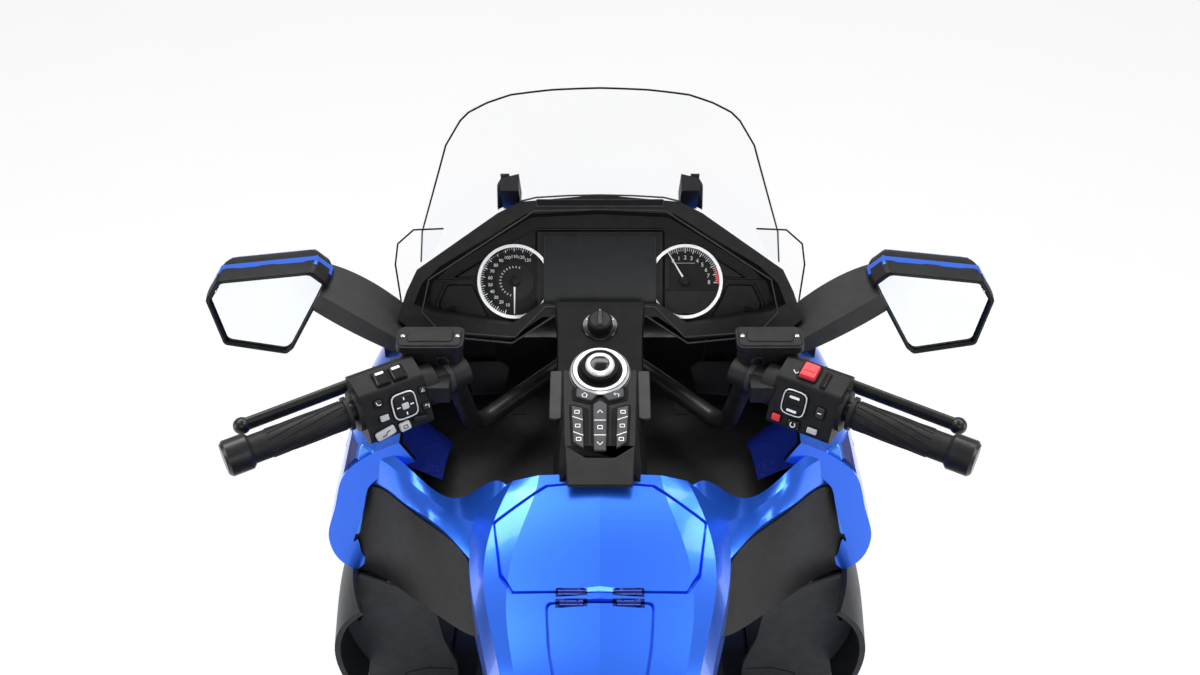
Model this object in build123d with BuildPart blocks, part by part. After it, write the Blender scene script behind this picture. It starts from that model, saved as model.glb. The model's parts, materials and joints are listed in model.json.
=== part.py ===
"""Touring motorcycle on its centre stand, in millimetres.

The frame: +Y is forwards, +X is the rider's right and +Z is up. The origin is on the floor, midway
between the front of the front tyre and the rear of the number plate, on the centre line.
"""

from math import cos, radians, sin, tan
import os

from build123d import *

os.makedirs("parts", exist_ok=True)

# ---------------------------------------------------------------- driving dimensions
LENGTH = 2575.0  # over the front tyre and the number plate
WHEELBASE = 1695.0
RAKE = 30.5  # steering axis from the vertical, degrees
TRAIL = 109.0
FRONT_TYRE_R = 320.0
FRONT_TYRE_W = 130.0
FRONT_RIM_R = 229.0
REAR_TYRE_R = 313.0
REAR_TYRE_W = 200.0
REAR_RIM_R = 204.0
REAR_LIFT = 25.0  # the rear tyre's height off the floor on the centre stand
STAND_GAP = 5.0  # the least air round what moves
SEAM = 0.3  # between panels that meet
PANEL_GAP = 3.5  # round a lid in its panel
WALL = 6.0  # moulded panels and boxes
SEAT_HEIGHT = 757.0
SCREEN_TOP = 1402.0  # top edge of the windscreen
ENGINE_HALF_WIDTH = 385.0  # over the cylinder head covers

FRONT_AXLE_Y = LENGTH / 2 - FRONT_TYRE_R
FRONT_AXLE_Z = FRONT_TYRE_R
REAR_AXLE_Y = FRONT_AXLE_Y - WHEELBASE
REAR_AXLE_Z = REAR_TYRE_R + REAR_LIFT
TAIL_Y = -LENGTH / 2


# ---------------------------------------------------------------- planes
def across(y):
    """Upright plane across the machine: local x is X and local y is Z."""
    return Plane(origin=(0, y, 0), x_dir=(1, 0, 0), z_dir=(0, -1, 0))


def along(x):
    """Upright plane along the machine: local x is Y and local y is Z."""
    return Plane(origin=(x, 0, 0), x_dir=(0, 1, 0), z_dir=(1, 0, 0))


def level(z):
    """Level plane at a height: local x is X and local y is Y."""
    return Plane.XY.offset(z)


STEER_DIR = Vector(0, -sin(radians(RAKE)), cos(radians(RAKE)))
STEER_FOOT = Vector(0, FRONT_AXLE_Y + TRAIL, 0)
STEER_FORWARD = Vector(0, cos(radians(RAKE)), sin(radians(RAKE)))


def steer_plane(distance):
    """Plane square to the steering axis, that far up it: local x is X and local y is forwards."""
    return Plane(origin=STEER_FOOT + STEER_DIR * distance, x_dir=(1, 0, 0), z_dir=STEER_DIR)


AXLE = Vector(0, FRONT_AXLE_Y, FRONT_AXLE_Z)
AXLE_UP_STEER = (AXLE - STEER_FOOT).dot(STEER_DIR)
FORK_OFFSET = (AXLE - STEER_FOOT).dot(STEER_FORWARD)


# ---------------------------------------------------------------- shapes
def loft_of(sections, radius=0.0, ruled=False):
    """A solid through closed outlines. Each section is (plane, points)."""
    with BuildPart() as body:
        for plane, points in sections:
            with BuildSketch(plane) as outline:
                Polygon(*points, align=None)
                if radius:
                    fillet(outline.vertices(), radius)
        loft(ruled=ruled)
    return body.part


def both_halves(points):
    """A right half outline, from its top centre to its bottom centre, made whole."""
    return points + [(-x, z) for x, z in reversed(points) if x]


def pair_of(half):
    """A piece and its mirror image on the other side, as two solids."""
    with BuildPart() as pair:
        add(half)
        mirror(about=Plane.YZ)
    return pair.part


def write(part, name):
    """Labels a finished piece and writes its file."""
    part.label = name
    export_step(part, f"parts/{name}.step")


# ---------------------------------------------------------------- wheels
DISC_R = 160.0
DISC_T = 5.0
DISC_X = 76.0  # disc's mid plane from the wheel's middle
REAR_DISC_X = 84.0
FRONT_HUB_R = 36.0
REAR_HUB_R = 62.0
FRONT_AXLE_R = 13.0
REAR_AXLE_R = 24.0
BEAD_CLEARANCE = 0.15
FLANGE_H = 11.0
AXLE_CLEARANCE = 0.05


def wheel_section(y, z):
    """Plane through a wheel's axle, across the machine: local x is X and local y is up."""
    return Plane(origin=(0, y, z), x_dir=(1, 0, 0), z_dir=(0, -1, 0))


def wheel_face(y, z, x):
    """Plane square to a wheel's axle."""
    return Plane(origin=(x, y, z), x_dir=(0, 1, 0), z_dir=(1, 0, 0))


def axle_line(y, z):
    return Axis((0, y, z), (1, 0, 0))


def make_tyre(name, y, z, radius, width, rim_radius, bead_width):
    """A tyre as a thick ring: beads, bulged walls and a crowned tread."""
    half, bead = width / 2, bead_width / 2
    shoulder = rim_radius + 0.62 * (radius - rim_radius)
    carcass = 11.0
    with BuildPart() as tyre:
        with BuildSketch(wheel_section(y, z)):
            with BuildLine():
                outside = [
                    (-bead, rim_radius),
                    (-half, shoulder),
                    (0, radius),
                    (half, shoulder),
                    (bead, rim_radius),
                ]
                lip = rim_radius + FLANGE_H + 1.5
                wall_bulge = (half * 0.95, rim_radius + 0.34 * (radius - rim_radius))
                crown_side = (half * 0.66, radius - 0.165 * (radius - rim_radius))
                Line(outside[0], (-bead, lip))
                ThreePointArc((-bead, lip), (-wall_bulge[0], wall_bulge[1]), outside[1])
                Spline(
                    outside[1],
                    (-crown_side[0], crown_side[1]),
                    outside[2],
                    crown_side,
                    outside[3],
                    tangents=[(0.1, 1), (0.1, -1)],
                )
                ThreePointArc(outside[3], wall_bulge, (bead, lip))
                Line((bead, lip), outside[4])
                inner_half, inner_bead = half - carcass, bead - carcass
                crown_x, crown_r = inner_half * 0.62, radius - carcass * 2
                Line(outside[4], (inner_bead, rim_radius))
                Line((inner_bead, rim_radius), (inner_bead, lip))
                ThreePointArc((inner_bead, lip), (inner_half, shoulder - 6), (crown_x, crown_r))
                ThreePointArc((crown_x, crown_r), (0, radius - carcass), (-crown_x, crown_r))
                ThreePointArc((-crown_x, crown_r), (-inner_half, shoulder - 6), (-inner_bead, lip))
                Line((-inner_bead, lip), (-inner_bead, rim_radius))
                Line((-inner_bead, rim_radius), outside[0])
            make_face()
        revolve(axis=axle_line(y, z))
    write(tyre.part, name)


def make_rim(name, y, z, rim_radius, bead_width, hub_radius, hub_half, bore, spoke_half, discs):
    """A cast rim: barrel with flanges, hub, five pairs of spokes and its brake discs."""
    seat, bead = rim_radius - BEAD_CLEARANCE, bead_width / 2
    flange_r, flange_w, barrel = rim_radius + FLANGE_H, 7.0, 9.0
    with BuildPart() as rim:
        with BuildSketch(wheel_section(y, z)):
            with BuildLine():
                Polyline(
                    (-bead - flange_w, seat - barrel),
                    (-bead - flange_w, flange_r),
                    (-bead - SEAM, flange_r),
                    (-bead - SEAM, seat),
                    (-bead + 16, seat),
                    (-bead + 26, seat - 14),
                    (bead - 26, seat - 14),
                    (bead - 16, seat),
                    (bead + SEAM, seat),
                    (bead + SEAM, flange_r),
                    (bead + flange_w, flange_r),
                    (bead + flange_w, seat - barrel),
                    (bead - 18, seat - barrel),
                    (bead - 28, seat - 14 - barrel),
                    (-bead + 28, seat - 14 - barrel),
                    (-bead + 18, seat - barrel),
                    close=True,
                )
            make_face()
        revolve(axis=axle_line(y, z))
        with BuildSketch(wheel_face(y, z, -hub_half)):
            Circle(hub_radius)
        extrude(amount=2 * hub_half)
        reach = seat - 14 - barrel / 2
        with BuildSketch(wheel_face(y, z, -spoke_half)):
            with PolarLocations(0, 5):
                for side in (-1, 1):
                    Polygon(
                        (hub_radius * 0.7, side * 4),
                        (hub_radius * 0.7, side * 26),
                        (reach, side * 62),
                        (reach, side * 38),
                        align=None,
                    )
        extrude(amount=2 * spoke_half)
        for disc_x in discs:
            inner_face = disc_x - DISC_T / 2
            with BuildSketch(wheel_face(y, z, inner_face)):
                Circle(DISC_R)
                Circle(DISC_R - 38, mode=Mode.SUBTRACT)
                with PolarLocations(0, 6):
                    with Locations(((hub_radius + DISC_R - 30) / 2, 0)):
                        Rectangle(DISC_R - 30 - hub_radius + 14, 26)
                Circle(hub_radius + 6)
            extrude(amount=DISC_T)
        with BuildSketch(wheel_face(y, z, -hub_half - 20)):
            Circle(bore)
        extrude(amount=2 * hub_half + 40, mode=Mode.SUBTRACT)
    write(rim.part, name)


FRONT_BEAD_W = 96.0
REAR_BEAD_W = 168.0
FRONT_HUB_HALF = DISC_X - DISC_T / 2 + 1
REAR_HUB_HALF = REAR_DISC_X + DISC_T / 2

make_tyre("front_tyre", FRONT_AXLE_Y, FRONT_AXLE_Z, FRONT_TYRE_R, FRONT_TYRE_W, FRONT_RIM_R, FRONT_BEAD_W)
make_tyre("rear_tyre", REAR_AXLE_Y, REAR_AXLE_Z, REAR_TYRE_R, REAR_TYRE_W, REAR_RIM_R, REAR_BEAD_W)
make_rim(
    "front_rim",
    FRONT_AXLE_Y,
    FRONT_AXLE_Z,
    FRONT_RIM_R,
    FRONT_BEAD_W,
    FRONT_HUB_R,
    FRONT_HUB_HALF,
    FRONT_AXLE_R + AXLE_CLEARANCE,
    15.0,
    (-DISC_X, DISC_X),
)
make_rim(
    "rear_rim",
    REAR_AXLE_Y,
    REAR_AXLE_Z,
    REAR_RIM_R,
    REAR_BEAD_W,
    REAR_HUB_R,
    REAR_HUB_HALF,
    REAR_AXLE_R + AXLE_CLEARANCE,
    20.0,
    (-REAR_DISC_X,),
)

# ---------------------------------------------------------------- fork, front axle, calipers, front fender
FORK_X = 116.0
FORK_R = 28.0
YOKE_AT = 700.0  # distance up the steering axis
YOKE_T = 36.0
STEM_R = 20.0
HOLDER_AT = 1022.0
HOLDER_T = 30.0
LUG_R = 33.0
LUG_IN = DISC_X + DISC_T / 2 + STAND_GAP
LUG_OUT = FORK_X + FORK_R + 4

with BuildPart() as fork:
    with BuildSketch(steer_plane(AXLE_UP_STEER)):
        with Locations((-FORK_X, FORK_OFFSET), (FORK_X, FORK_OFFSET)):
            Circle(FORK_R)
    extrude(amount=YOKE_AT - AXLE_UP_STEER + YOKE_T / 2)
    with BuildSketch(steer_plane(YOKE_AT)) as yoke_outline:
        Polygon(
            (-FORK_X - 36, FORK_OFFSET + 30),
            (FORK_X + 36, FORK_OFFSET + 30),
            (FORK_X + 36, FORK_OFFSET - 34),
            (52, -44),
            (-52, -44),
            (-FORK_X - 36, FORK_OFFSET - 34),
            align=None,
        )
        fillet(yoke_outline.vertices(), 22)
    extrude(amount=YOKE_T)
    with BuildSketch(steer_plane(YOKE_AT + YOKE_T)):
        Circle(STEM_R)
    extrude(amount=HOLDER_AT - YOKE_AT - YOKE_T)
    for side in (-1, 1):
        with BuildSketch(wheel_face(FRONT_AXLE_Y, FRONT_AXLE_Z, LUG_IN if side > 0 else -LUG_OUT)):
            Circle(LUG_R)
        extrude(amount=LUG_OUT - LUG_IN)
    with BuildSketch(wheel_face(FRONT_AXLE_Y, FRONT_AXLE_Z, -LUG_OUT - 6)):
        Circle(FRONT_AXLE_R)
    extrude(amount=2 * LUG_OUT + 12)
    with BuildSketch(wheel_face(FRONT_AXLE_Y, FRONT_AXLE_Z, -LUG_OUT - 10)):
        Circle(FRONT_AXLE_R - 5)
    extrude(amount=2 * LUG_OUT + 20, mode=Mode.SUBTRACT)
write(fork.part, "fork")

CALIPER_REACH = 128.0  # from the axle to the middle of the pads
CALIPER_SLOT = DISC_T / 2 + STAND_GAP
CALIPER_SKIN = 17.0
CALIPER_BEARING = 148.0  # bearing of the caliper about the axle, from forwards, degrees


def caliper_plane(y, z, x, bearing):
    """Wheel face turned so that local x points from the axle towards the caliper."""
    direction = (0, cos(radians(bearing)), sin(radians(bearing)))
    return Plane(origin=(x, y, z), x_dir=direction, z_dir=(1, 0, 0))


def make_caliper(y, z, disc_x, bearing, reach, leg_x):
    """A caliper over the disc's edge, with a tab out to the leg that carries it."""
    half = CALIPER_SLOT + CALIPER_SKIN
    with BuildPart() as caliper:
        with BuildSketch(caliper_plane(y, z, disc_x - half, bearing)) as body:
            with Locations((reach + 18, 0)):
                Rectangle(78, 118)
            fillet(body.vertices(), 16)
        extrude(amount=2 * half)
        with BuildSketch(caliper_plane(y, z, disc_x - CALIPER_SLOT, bearing)):
            Circle(DISC_R + STAND_GAP)
        extrude(amount=2 * CALIPER_SLOT, mode=Mode.SUBTRACT)
        outer = disc_x + half if leg_x > disc_x else disc_x - half
        with BuildSketch(caliper_plane(y, z, min(outer, leg_x), bearing)):
            with Locations((reach + 18, 0)):
                Rectangle(30, 100)
        extrude(amount=abs(leg_x - outer))
    return caliper.part


with BuildPart() as front_calipers:
    for side in (-1, 1):
        add(
            make_caliper(
                FRONT_AXLE_Y,
                FRONT_AXLE_Z,
                side * DISC_X,
                CALIPER_BEARING,
                CALIPER_REACH,
                side * (FORK_X - FORK_R / 2),
            )
        )
    add(fork.part, mode=Mode.SUBTRACT)
write(front_calipers.part, "front_calipers")

FENDER_R = FRONT_TYRE_R + 16
FENDER_T = 5.0
FENDER_HALF = 78.0
FENDER_SKIRT_R = FRONT_TYRE_R - 52
FENDER_START = 28.0  # bearing of the leading edge about the axle, from forwards, degrees
FENDER_ARC = 138.0


def fender_plane(y, z, bearing):
    """Plane through the axle at a bearing: local x is X and local y points out from the axle."""
    outwards = Vector(0, cos(radians(bearing)), sin(radians(bearing)))
    return Plane(origin=(0, y, z), x_dir=(1, 0, 0), z_dir=Vector(1, 0, 0).cross(outwards))


def make_fender(y, z, radius, half, skirt, thickness, start, arc):
    """An arched mudguard: a crowned top with skirts, turned about the axle."""
    shape = both_halves(
        [
            (0, radius + thickness),
            (half * 0.55, radius + thickness - 4),
            (half, radius - 22),
            (half + 6, skirt),
            (half + 6 - thickness, skirt),
            (half - thickness, radius - 26),
            (half * 0.5, radius - 4),
            (0, radius),
        ]
    )
    with BuildPart() as fender:
        with BuildSketch(fender_plane(y, z, start)):
            Polygon(*shape, align=None)
        revolve(axis=axle_line(y, z), revolution_arc=arc)
    return fender.part


with BuildPart() as front_fender:
    add(
        make_fender(
            FRONT_AXLE_Y,
            FRONT_AXLE_Z,
            FENDER_R,
            FENDER_HALF,
            FENDER_SKIRT_R,
            FENDER_T,
            FENDER_START,
            FENDER_ARC,
        )
    )
    with BuildSketch(steer_plane(AXLE_UP_STEER + 225)):
        with Locations((-FENDER_HALF - 6, FORK_OFFSET), (FENDER_HALF + 6, FORK_OFFSET)):
            Rectangle(22, 34)
    extrude(amount=46)
    add(fork.part, mode=Mode.SUBTRACT)
write(front_fender.part, "front_fender")

# ---------------------------------------------------------------- handlebar, grips, controls
BAR_R = 13.0
GRIP_R = 18.0
BAR_END_R = 23.0
BAR_BEND = 45.0
STEM_TOP = (30.0, 530.0, 905.0)
RISER_FOOT = (175.0, 335.0, 930.0)
RISER_TOP = (192.0, 285.0, 1063.0)
GRIP_IN = (310.0, 215.0, 1062.0)
BAR_END = (452.0, 135.6, 1055.5)
GRIP_DIR = (Vector(*BAR_END) - Vector(*GRIP_IN)).normalized()
BAR_RUN = (Vector(*GRIP_IN) - Vector(*RISER_TOP)).normalized()


def bar_plane(distance, direction=GRIP_DIR, start=GRIP_IN):
    """Plane square to the bar, that far out from the start: local y is up."""
    sideways = Vector(0, 0, 1).cross(direction).normalized()
    return Plane(origin=Vector(*start) + direction * distance, x_dir=sideways * -1, z_dir=direction)


with BuildPart() as bar_half:
    with BuildLine() as bar_path:
        FilletPolyline(STEM_TOP, RISER_FOOT, RISER_TOP, GRIP_IN, BAR_END, radius=BAR_BEND)
    with BuildSketch(Plane(origin=bar_path.wire() @ 0, z_dir=bar_path.wire() % 0)):
        Circle(BAR_R)
    sweep()
    with BuildSketch(bar_plane(130)):
        Circle(BAR_END_R)
    extrude(amount=34)
    rims = bar_half.edges().filter_by(GeomType.CIRCLE)
    chamfer(rims.filter_by(lambda edge: abs(edge.radius - BAR_END_R) < 0.1), 4)

with BuildPart() as handlebar:
    with BuildSketch(steer_plane(HOLDER_AT)) as holder:
        Rectangle(104, 74)
        fillet(holder.vertices(), 20)
    extrude(amount=HOLDER_T)
    add(bar_half.part)
    mirror(bar_half.part, about=Plane.YZ)
write(handlebar.part, "handlebar")

with BuildPart() as grip_half:
    with BuildSketch(bar_plane(4)):
        Circle(GRIP_R + 4)
    extrude(amount=5)
    with BuildSketch(bar_plane(9)):
        Circle(GRIP_R)
    extrude(amount=121)
    add(bar_half.part, mode=Mode.SUBTRACT)
grips = pair_of(grip_half.part)
write(grips, "grips")

SWITCH_START = 44.0
SWITCH_LENGTH = 86.0
SWITCH_COLLAR = 18.0
# Corners in (rearward, up).
SWITCH_SECTION = [(-32, 32), (-18, 38), (14, 30), (37, -28), (29, -36), (-6, -36), (-32, -26)]
with BuildPart() as switch_half:
    with BuildSketch(bar_plane(SWITCH_START, BAR_RUN, RISER_TOP)) as box:
        Polygon(*[(rear, -up) for rear, up in SWITCH_SECTION], align=None)
        fillet(box.vertices(), 6)
    extrude(amount=SWITCH_LENGTH)
    with BuildSketch(bar_plane(SWITCH_START - SWITCH_COLLAR, BAR_RUN, RISER_TOP)):
        Circle(GRIP_R + 9)
    extrude(amount=SWITCH_COLLAR)
    with BuildSketch(bar_plane(SWITCH_START + SWITCH_LENGTH, BAR_RUN, RISER_TOP)):
        Circle(GRIP_R + 9)
    extrude(amount=6)
    add(bar_half.part, mode=Mode.SUBTRACT)
    add(grip_half.part, mode=Mode.SUBTRACT)
write(pair_of(switch_half.part), "switch_housings")

LEVER_IN = (262.0, 292.0, 1064.0)
LEVER_BEND = (312.0, 272.0, 1063.0)
LEVER_OUT = (446.0, 198.0, 1054.0)
RESERVOIR_AT = (218.0, 304.0)
RESERVOIR_Z = 1052.0
RESERVOIR_H = 50.0
with BuildPart() as lever_half:
    with BuildLine() as lever_path:
        FilletPolyline(LEVER_IN, LEVER_BEND, LEVER_OUT, radius=60)
    with BuildSketch(Plane(origin=lever_path.wire() @ 0, z_dir=lever_path.wire() % 0)):
        Ellipse(7, 9)
    sweep()
    with Locations(LEVER_OUT):
        Sphere(11)
    with Locations((250, 290, 1064)):
        Box(46, 40, 20)
    add(bar_half.part, mode=Mode.SUBTRACT)
    add(switch_half.part, mode=Mode.SUBTRACT)
write(pair_of(lever_half.part), "hand_levers")

with BuildPart() as reservoir_half:
    with BuildSketch(level(RESERVOIR_Z)) as bowl:
        with Locations(RESERVOIR_AT):
            Rectangle(78, 38)
        fillet(bowl.vertices(), 9)
    extrude(amount=RESERVOIR_H)
    with BuildSketch(level(RESERVOIR_Z + RESERVOIR_H)) as cap:
        with Locations(RESERVOIR_AT):
            Rectangle(86, 44)
        fillet(cap.vertices(), 10)
    extrude(amount=9)
    with Locations((206, 272, 1066)):
        Box(30, 60, 24)
    add(bar_half.part, mode=Mode.SUBTRACT)
    add(switch_half.part, mode=Mode.SUBTRACT)
    add(lever_half.part, mode=Mode.SUBTRACT)
write(pair_of(reservoir_half.part), "reservoirs")

# ---------------------------------------------------------------- frame
HEAD_FROM = 750.0
HEAD_TO = 968.0
HEAD_R = 36.0
STEM_CLEARANCE = 0.08
ENGINE_TOP = 515.0
PIVOT_PLATE = [(-130, 470), (-200, 560), (-300, 560), (-290, 230), (-262, 190), (-222, 190), (-180, 300)]
RAIL_X = 132.0


def box_section(y, x0, x1, z0, z1):
    """A bar's rectangular section on an upright plane."""
    return (across(y), [(x0, z0), (x1, z0), (x1, z1), (x0, z1)])


with BuildPart() as frame_half:
    add(loft_of([box_section(640, 0, 62, 672, 792), box_section(500, 96, 150, 640, 758)], ruled=True))
    add(loft_of([box_section(500, 96, 150, 640, 758), box_section(60, 134, 176, 540, 640)], ruled=True))
    add(loft_of([box_section(60, 134, 176, 540, 640), box_section(-200, 124, 172, 400, 540)], ruled=True))
    with BuildSketch(along(124)):
        Polygon(*PIVOT_PLATE, align=None)
    extrude(amount=26)
    add(
        loft_of(
            [
                box_section(-207, RAIL_X - 11, RAIL_X + 11, 545, 596),
                box_section(-560, RAIL_X - 11, RAIL_X + 11, 654, 688),
                box_section(-1010, RAIL_X - 11, RAIL_X + 11, 716, 746),
            ],
            ruled=True,
        )
    )
    add(
        loft_of(
            [
                box_section(-290, RAIL_X - 10, RAIL_X + 10, 440, 470),
                box_section(-600, RAIL_X - 10, RAIL_X + 10, 654, 684),
            ],
            ruled=True,
        )
    )
    for y in (420, 160):
        with Locations((146, y, (ENGINE_TOP + 620) / 2)):
            Box(28, 60, 620 - ENGINE_TOP)

with BuildPart() as frame:
    add(frame_half.part)
    mirror(frame_half.part, about=Plane.YZ)
    with BuildSketch(steer_plane(HEAD_FROM)):
        Circle(HEAD_R)
    extrude(amount=HEAD_TO - HEAD_FROM)
    for y, z, drop in ((-225, 575, 40), (-400, 640, 30), (-700, 700, 24), (-1000, 732, 24)):
        with Locations((0, y, z)):
            Box(2 * RAIL_X, 40, drop)
    with BuildSketch(along(-124)):
        with Locations((-240, 232), (-200, 470)):
            Circle(17)
    extrude(amount=248)
    with BuildSketch(steer_plane(HEAD_FROM - 20)):
        Circle(STEM_R + STEM_CLEARANCE)
    extrude(amount=HEAD_TO - HEAD_FROM + 40, mode=Mode.SUBTRACT)
write(frame.part, "frame")

# ---------------------------------------------------------------- engine
BLOCK_HALF = 168.0
HEAD_Y0 = 120.0
HEAD_Y1 = 520.0

BLOCK_FACE = [(0, ENGINE_TOP), (120, ENGINE_TOP), (BLOCK_HALF, 470), (BLOCK_HALF, 285), (118, 190), (0, 190)]
GEARBOX_REAR = [(0, 470), (92, 470), (116, 440), (116, 270), (90, 225), (0, 225)]
GEARBOX_FRONT = [(0, 500), (100, 500), (140, 470), (140, 260), (110, 205), (0, 205)]
with BuildPart() as engine:
    with BuildSketch(across(70)):
        Polygon(*both_halves(BLOCK_FACE), align=None)
    extrude(amount=-480)
    chamfer(engine.edges().group_by(Axis.Y)[-1], 14)
    add(
        loft_of(
            [
                (across(-175), both_halves(GEARBOX_REAR)),
                (across(70), both_halves(GEARBOX_FRONT)),
            ],
            ruled=True,
        )
    )
    for x in (BLOCK_HALF - 30, -BLOCK_HALF - 12):
        with BuildSketch(along(x)):
            with Locations((30, 330)):
                Circle(82)
        extrude(amount=42)
    add(frame.part, mode=Mode.SUBTRACT)
write(engine.part, "engine_block")

with BuildPart() as head_half:
    with BuildSketch(along(BLOCK_HALF)) as barrel:
        with Locations(((HEAD_Y0 + HEAD_Y1) / 2, 385)):
            Rectangle(HEAD_Y1 - HEAD_Y0 - 24, 132)
        fillet(barrel.vertices(), 16)
    extrude(amount=70)
    with BuildSketch(along(BLOCK_HALF + 70)) as head:
        with Locations(((HEAD_Y0 + HEAD_Y1) / 2, 385)):
            Rectangle(HEAD_Y1 - HEAD_Y0, 160)
        fillet(head.vertices(), 26)
    extrude(amount=80)
    with BuildSketch(along(BLOCK_HALF + 150)) as cover:
        with Locations(((HEAD_Y0 + HEAD_Y1) / 2, 385)):
            Rectangle(HEAD_Y1 - HEAD_Y0 - 14, 146)
        fillet(cover.vertices(), 30)
    extrude(amount=ENGINE_HALF_WIDTH - BLOCK_HALF - 150)
    chamfer(head_half.edges().group_by(Axis.X)[-1], 16)
write(pair_of(head_half.part), "cylinder_heads")

# ---------------------------------------------------------------- exhausts
MUFFLER_X = 262.0
MUFFLER_Z = 272.0
MUFFLER_Y0 = -400.0
MUFFLER_Y1 = -1120.0
PIPE_R = 24.0
PIPE_X = 226.0
PIPE_Z = 250.0
MUFFLER_REAR = [(213, 226), (320, 226), (338, 250), (338, 300), (318, 326), (213, 326), (200, 300), (200, 250)]
MUFFLER_WAIST = [(212, 218), (322, 218), (342, 246), (342, 300), (320, 328), (212, 328), (198, 300), (198, 246)]
MUFFLER_FRONT = [(228, 242), (288, 242), (300, 256), (300, 288), (286, 302), (228, 302), (216, 288), (216, 256)]

with BuildPart() as exhaust_half:
    with BuildLine() as pipe_path:
        FilletPolyline(
            (PIPE_X, 430, 306),
            (PIPE_X, 420, PIPE_Z),
            (PIPE_X, -260, PIPE_Z),
            (MUFFLER_X, MUFFLER_Y0 - 20, MUFFLER_Z),
            radius=40,
        )
    with BuildSketch(Plane(origin=pipe_path.wire() @ 0, z_dir=pipe_path.wire() % 0)):
        Circle(PIPE_R)
    sweep()
    for y in (320, 220):
        with BuildSketch(level(PIPE_Z)):
            with Locations((PIPE_X + 8, y)):
                Circle(PIPE_R - 3)
        extrude(amount=56)
    add(
        loft_of(
            [
                (across(MUFFLER_Y1), MUFFLER_REAR),
                (across(-560), MUFFLER_WAIST),
                (across(MUFFLER_Y0), MUFFLER_FRONT),
            ],
            10,
        )
    )
    for x in (232, 298):
        with BuildSketch(across(MUFFLER_Y1 - 16)):
            with Locations((x, 276)):
                Circle(24)
        extrude(amount=-26)
        with BuildSketch(across(MUFFLER_Y1 - 16)):
            with Locations((x, 276)):
                Circle(20)
        extrude(amount=-60, mode=Mode.SUBTRACT)
    with BuildSketch(along(MUFFLER_X - 80)):
        Polygon((-560, 290), (-500, 290), (-430, 545), (-430, 578), (-470, 578), align=None)
    extrude(amount=8)
    with Locations(((RAIL_X + MUFFLER_X - 64) / 2, -450, 560)):
        Box(MUFFLER_X - 80 - RAIL_X, 40, 30)
    with Locations((200, -530, 300)):
        Box(36, 50, 20)
    add(head_half.part, mode=Mode.SUBTRACT)
    add(frame.part, mode=Mode.SUBTRACT)
    add(engine.part, mode=Mode.SUBTRACT)
write(pair_of(exhaust_half.part), "exhausts")

# ---------------------------------------------------------------- swingarm and rear axle
DRIVE_IN = -112.0
DRIVE_OUT = -172.0
with BuildPart() as swingarm:
    add(
        loft_of(
            [
                (across(REAR_AXLE_Y), [(DRIVE_OUT, 290), (DRIVE_IN, 290), (DRIVE_IN, 386), (DRIVE_OUT, 386)]),
                (across(-480), [(DRIVE_OUT, 300), (DRIVE_IN, 300), (DRIVE_IN, 400), (DRIVE_OUT, 400)]),
                (across(-330), [(-168, 320), (-60, 320), (-60, 420), (-168, 420)]),
            ],
            ruled=True,
        )
    )
    with Locations((0, -318, 370)):
        Box(336, 50, 110)
    with BuildSketch(wheel_face(REAR_AXLE_Y, REAR_AXLE_Z, DRIVE_OUT)):
        Circle(82)
    extrude(amount=DRIVE_IN - DRIVE_OUT)
    with BuildSketch(wheel_face(REAR_AXLE_Y, REAR_AXLE_Z, DRIVE_OUT - 8)):
        Circle(52)
    extrude(amount=8)
    with BuildSketch(wheel_face(REAR_AXLE_Y, REAR_AXLE_Z, DRIVE_IN)):
        Circle(REAR_AXLE_R)
    extrude(amount=REAR_HUB_HALF + STAND_GAP - DRIVE_IN)
    with BuildSketch(wheel_face(REAR_AXLE_Y, REAR_AXLE_Z, REAR_HUB_HALF + STAND_GAP)):
        Circle(REAR_AXLE_R + 12)
    extrude(amount=14)
    add(frame.part, mode=Mode.SUBTRACT)
write(swingarm.part, "swingarm")

with BuildPart() as rear_caliper:
    add(make_caliper(REAR_AXLE_Y, REAR_AXLE_Z, -REAR_DISC_X, 35, CALIPER_REACH - 6, DRIVE_IN - 20))
    add(swingarm.part, mode=Mode.SUBTRACT)
write(rear_caliper.part, "rear_caliper")

# ---------------------------------------------------------------- stands
STAND_PIVOT = (-240.0, 232.0)
FOOT_Y = -200.0
STAND_BOLT_R = 9.0


def leg_section(middle, half):
    """A stand leg's section about a place along Y."""
    return [(152, middle - half), (174, middle - half), (174, middle + half), (152, middle + half)]


with BuildPart() as centre_stand_half:
    with BuildSketch(along(152)):
        with Locations(STAND_PIVOT):
            Circle(21)
    extrude(amount=22)
    add(
        loft_of(
            [
                (level(18), leg_section(FOOT_Y, 18)),
                (level(STAND_PIVOT[1]), leg_section(STAND_PIVOT[0], 19)),
            ],
            ruled=True,
        )
    )
    with Locations((159, FOOT_Y, 9)):
        Box(50, 76, 18)
with BuildPart() as centre_stand:
    add(centre_stand_half.part)
    mirror(centre_stand_half.part, about=Plane.YZ)
    with BuildSketch(along(-160)):
        with Locations((-218, 100)):
            Circle(12)
    extrude(amount=320)
    with BuildSketch(along(-185)):
        with Locations(STAND_PIVOT):
            Circle(STAND_BOLT_R + AXLE_CLEARANCE)
    extrude(amount=370, mode=Mode.SUBTRACT)
write(centre_stand.part, "centre_stand")

with BuildPart() as stand_pins:
    for x in (-180, 150):
        with BuildSketch(along(x)):
            with Locations(STAND_PIVOT):
                Circle(STAND_BOLT_R)
        extrude(amount=30)
    for x in (-180, 174.6):
        with BuildSketch(along(x)):
            with Locations(STAND_PIVOT):
                Circle(STAND_BOLT_R + 5)
        extrude(amount=5.4)
write(stand_pins.part, "stand_pins")

SIDE_STAND_AT = Vector(-214, -60, 196)
SIDE_STAND_L = 194.0
SIDE_STAND_AXIS = Vector(0.917, 0, -0.4).normalized()
SIDE_STAND_PIN_R = 7.0


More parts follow.
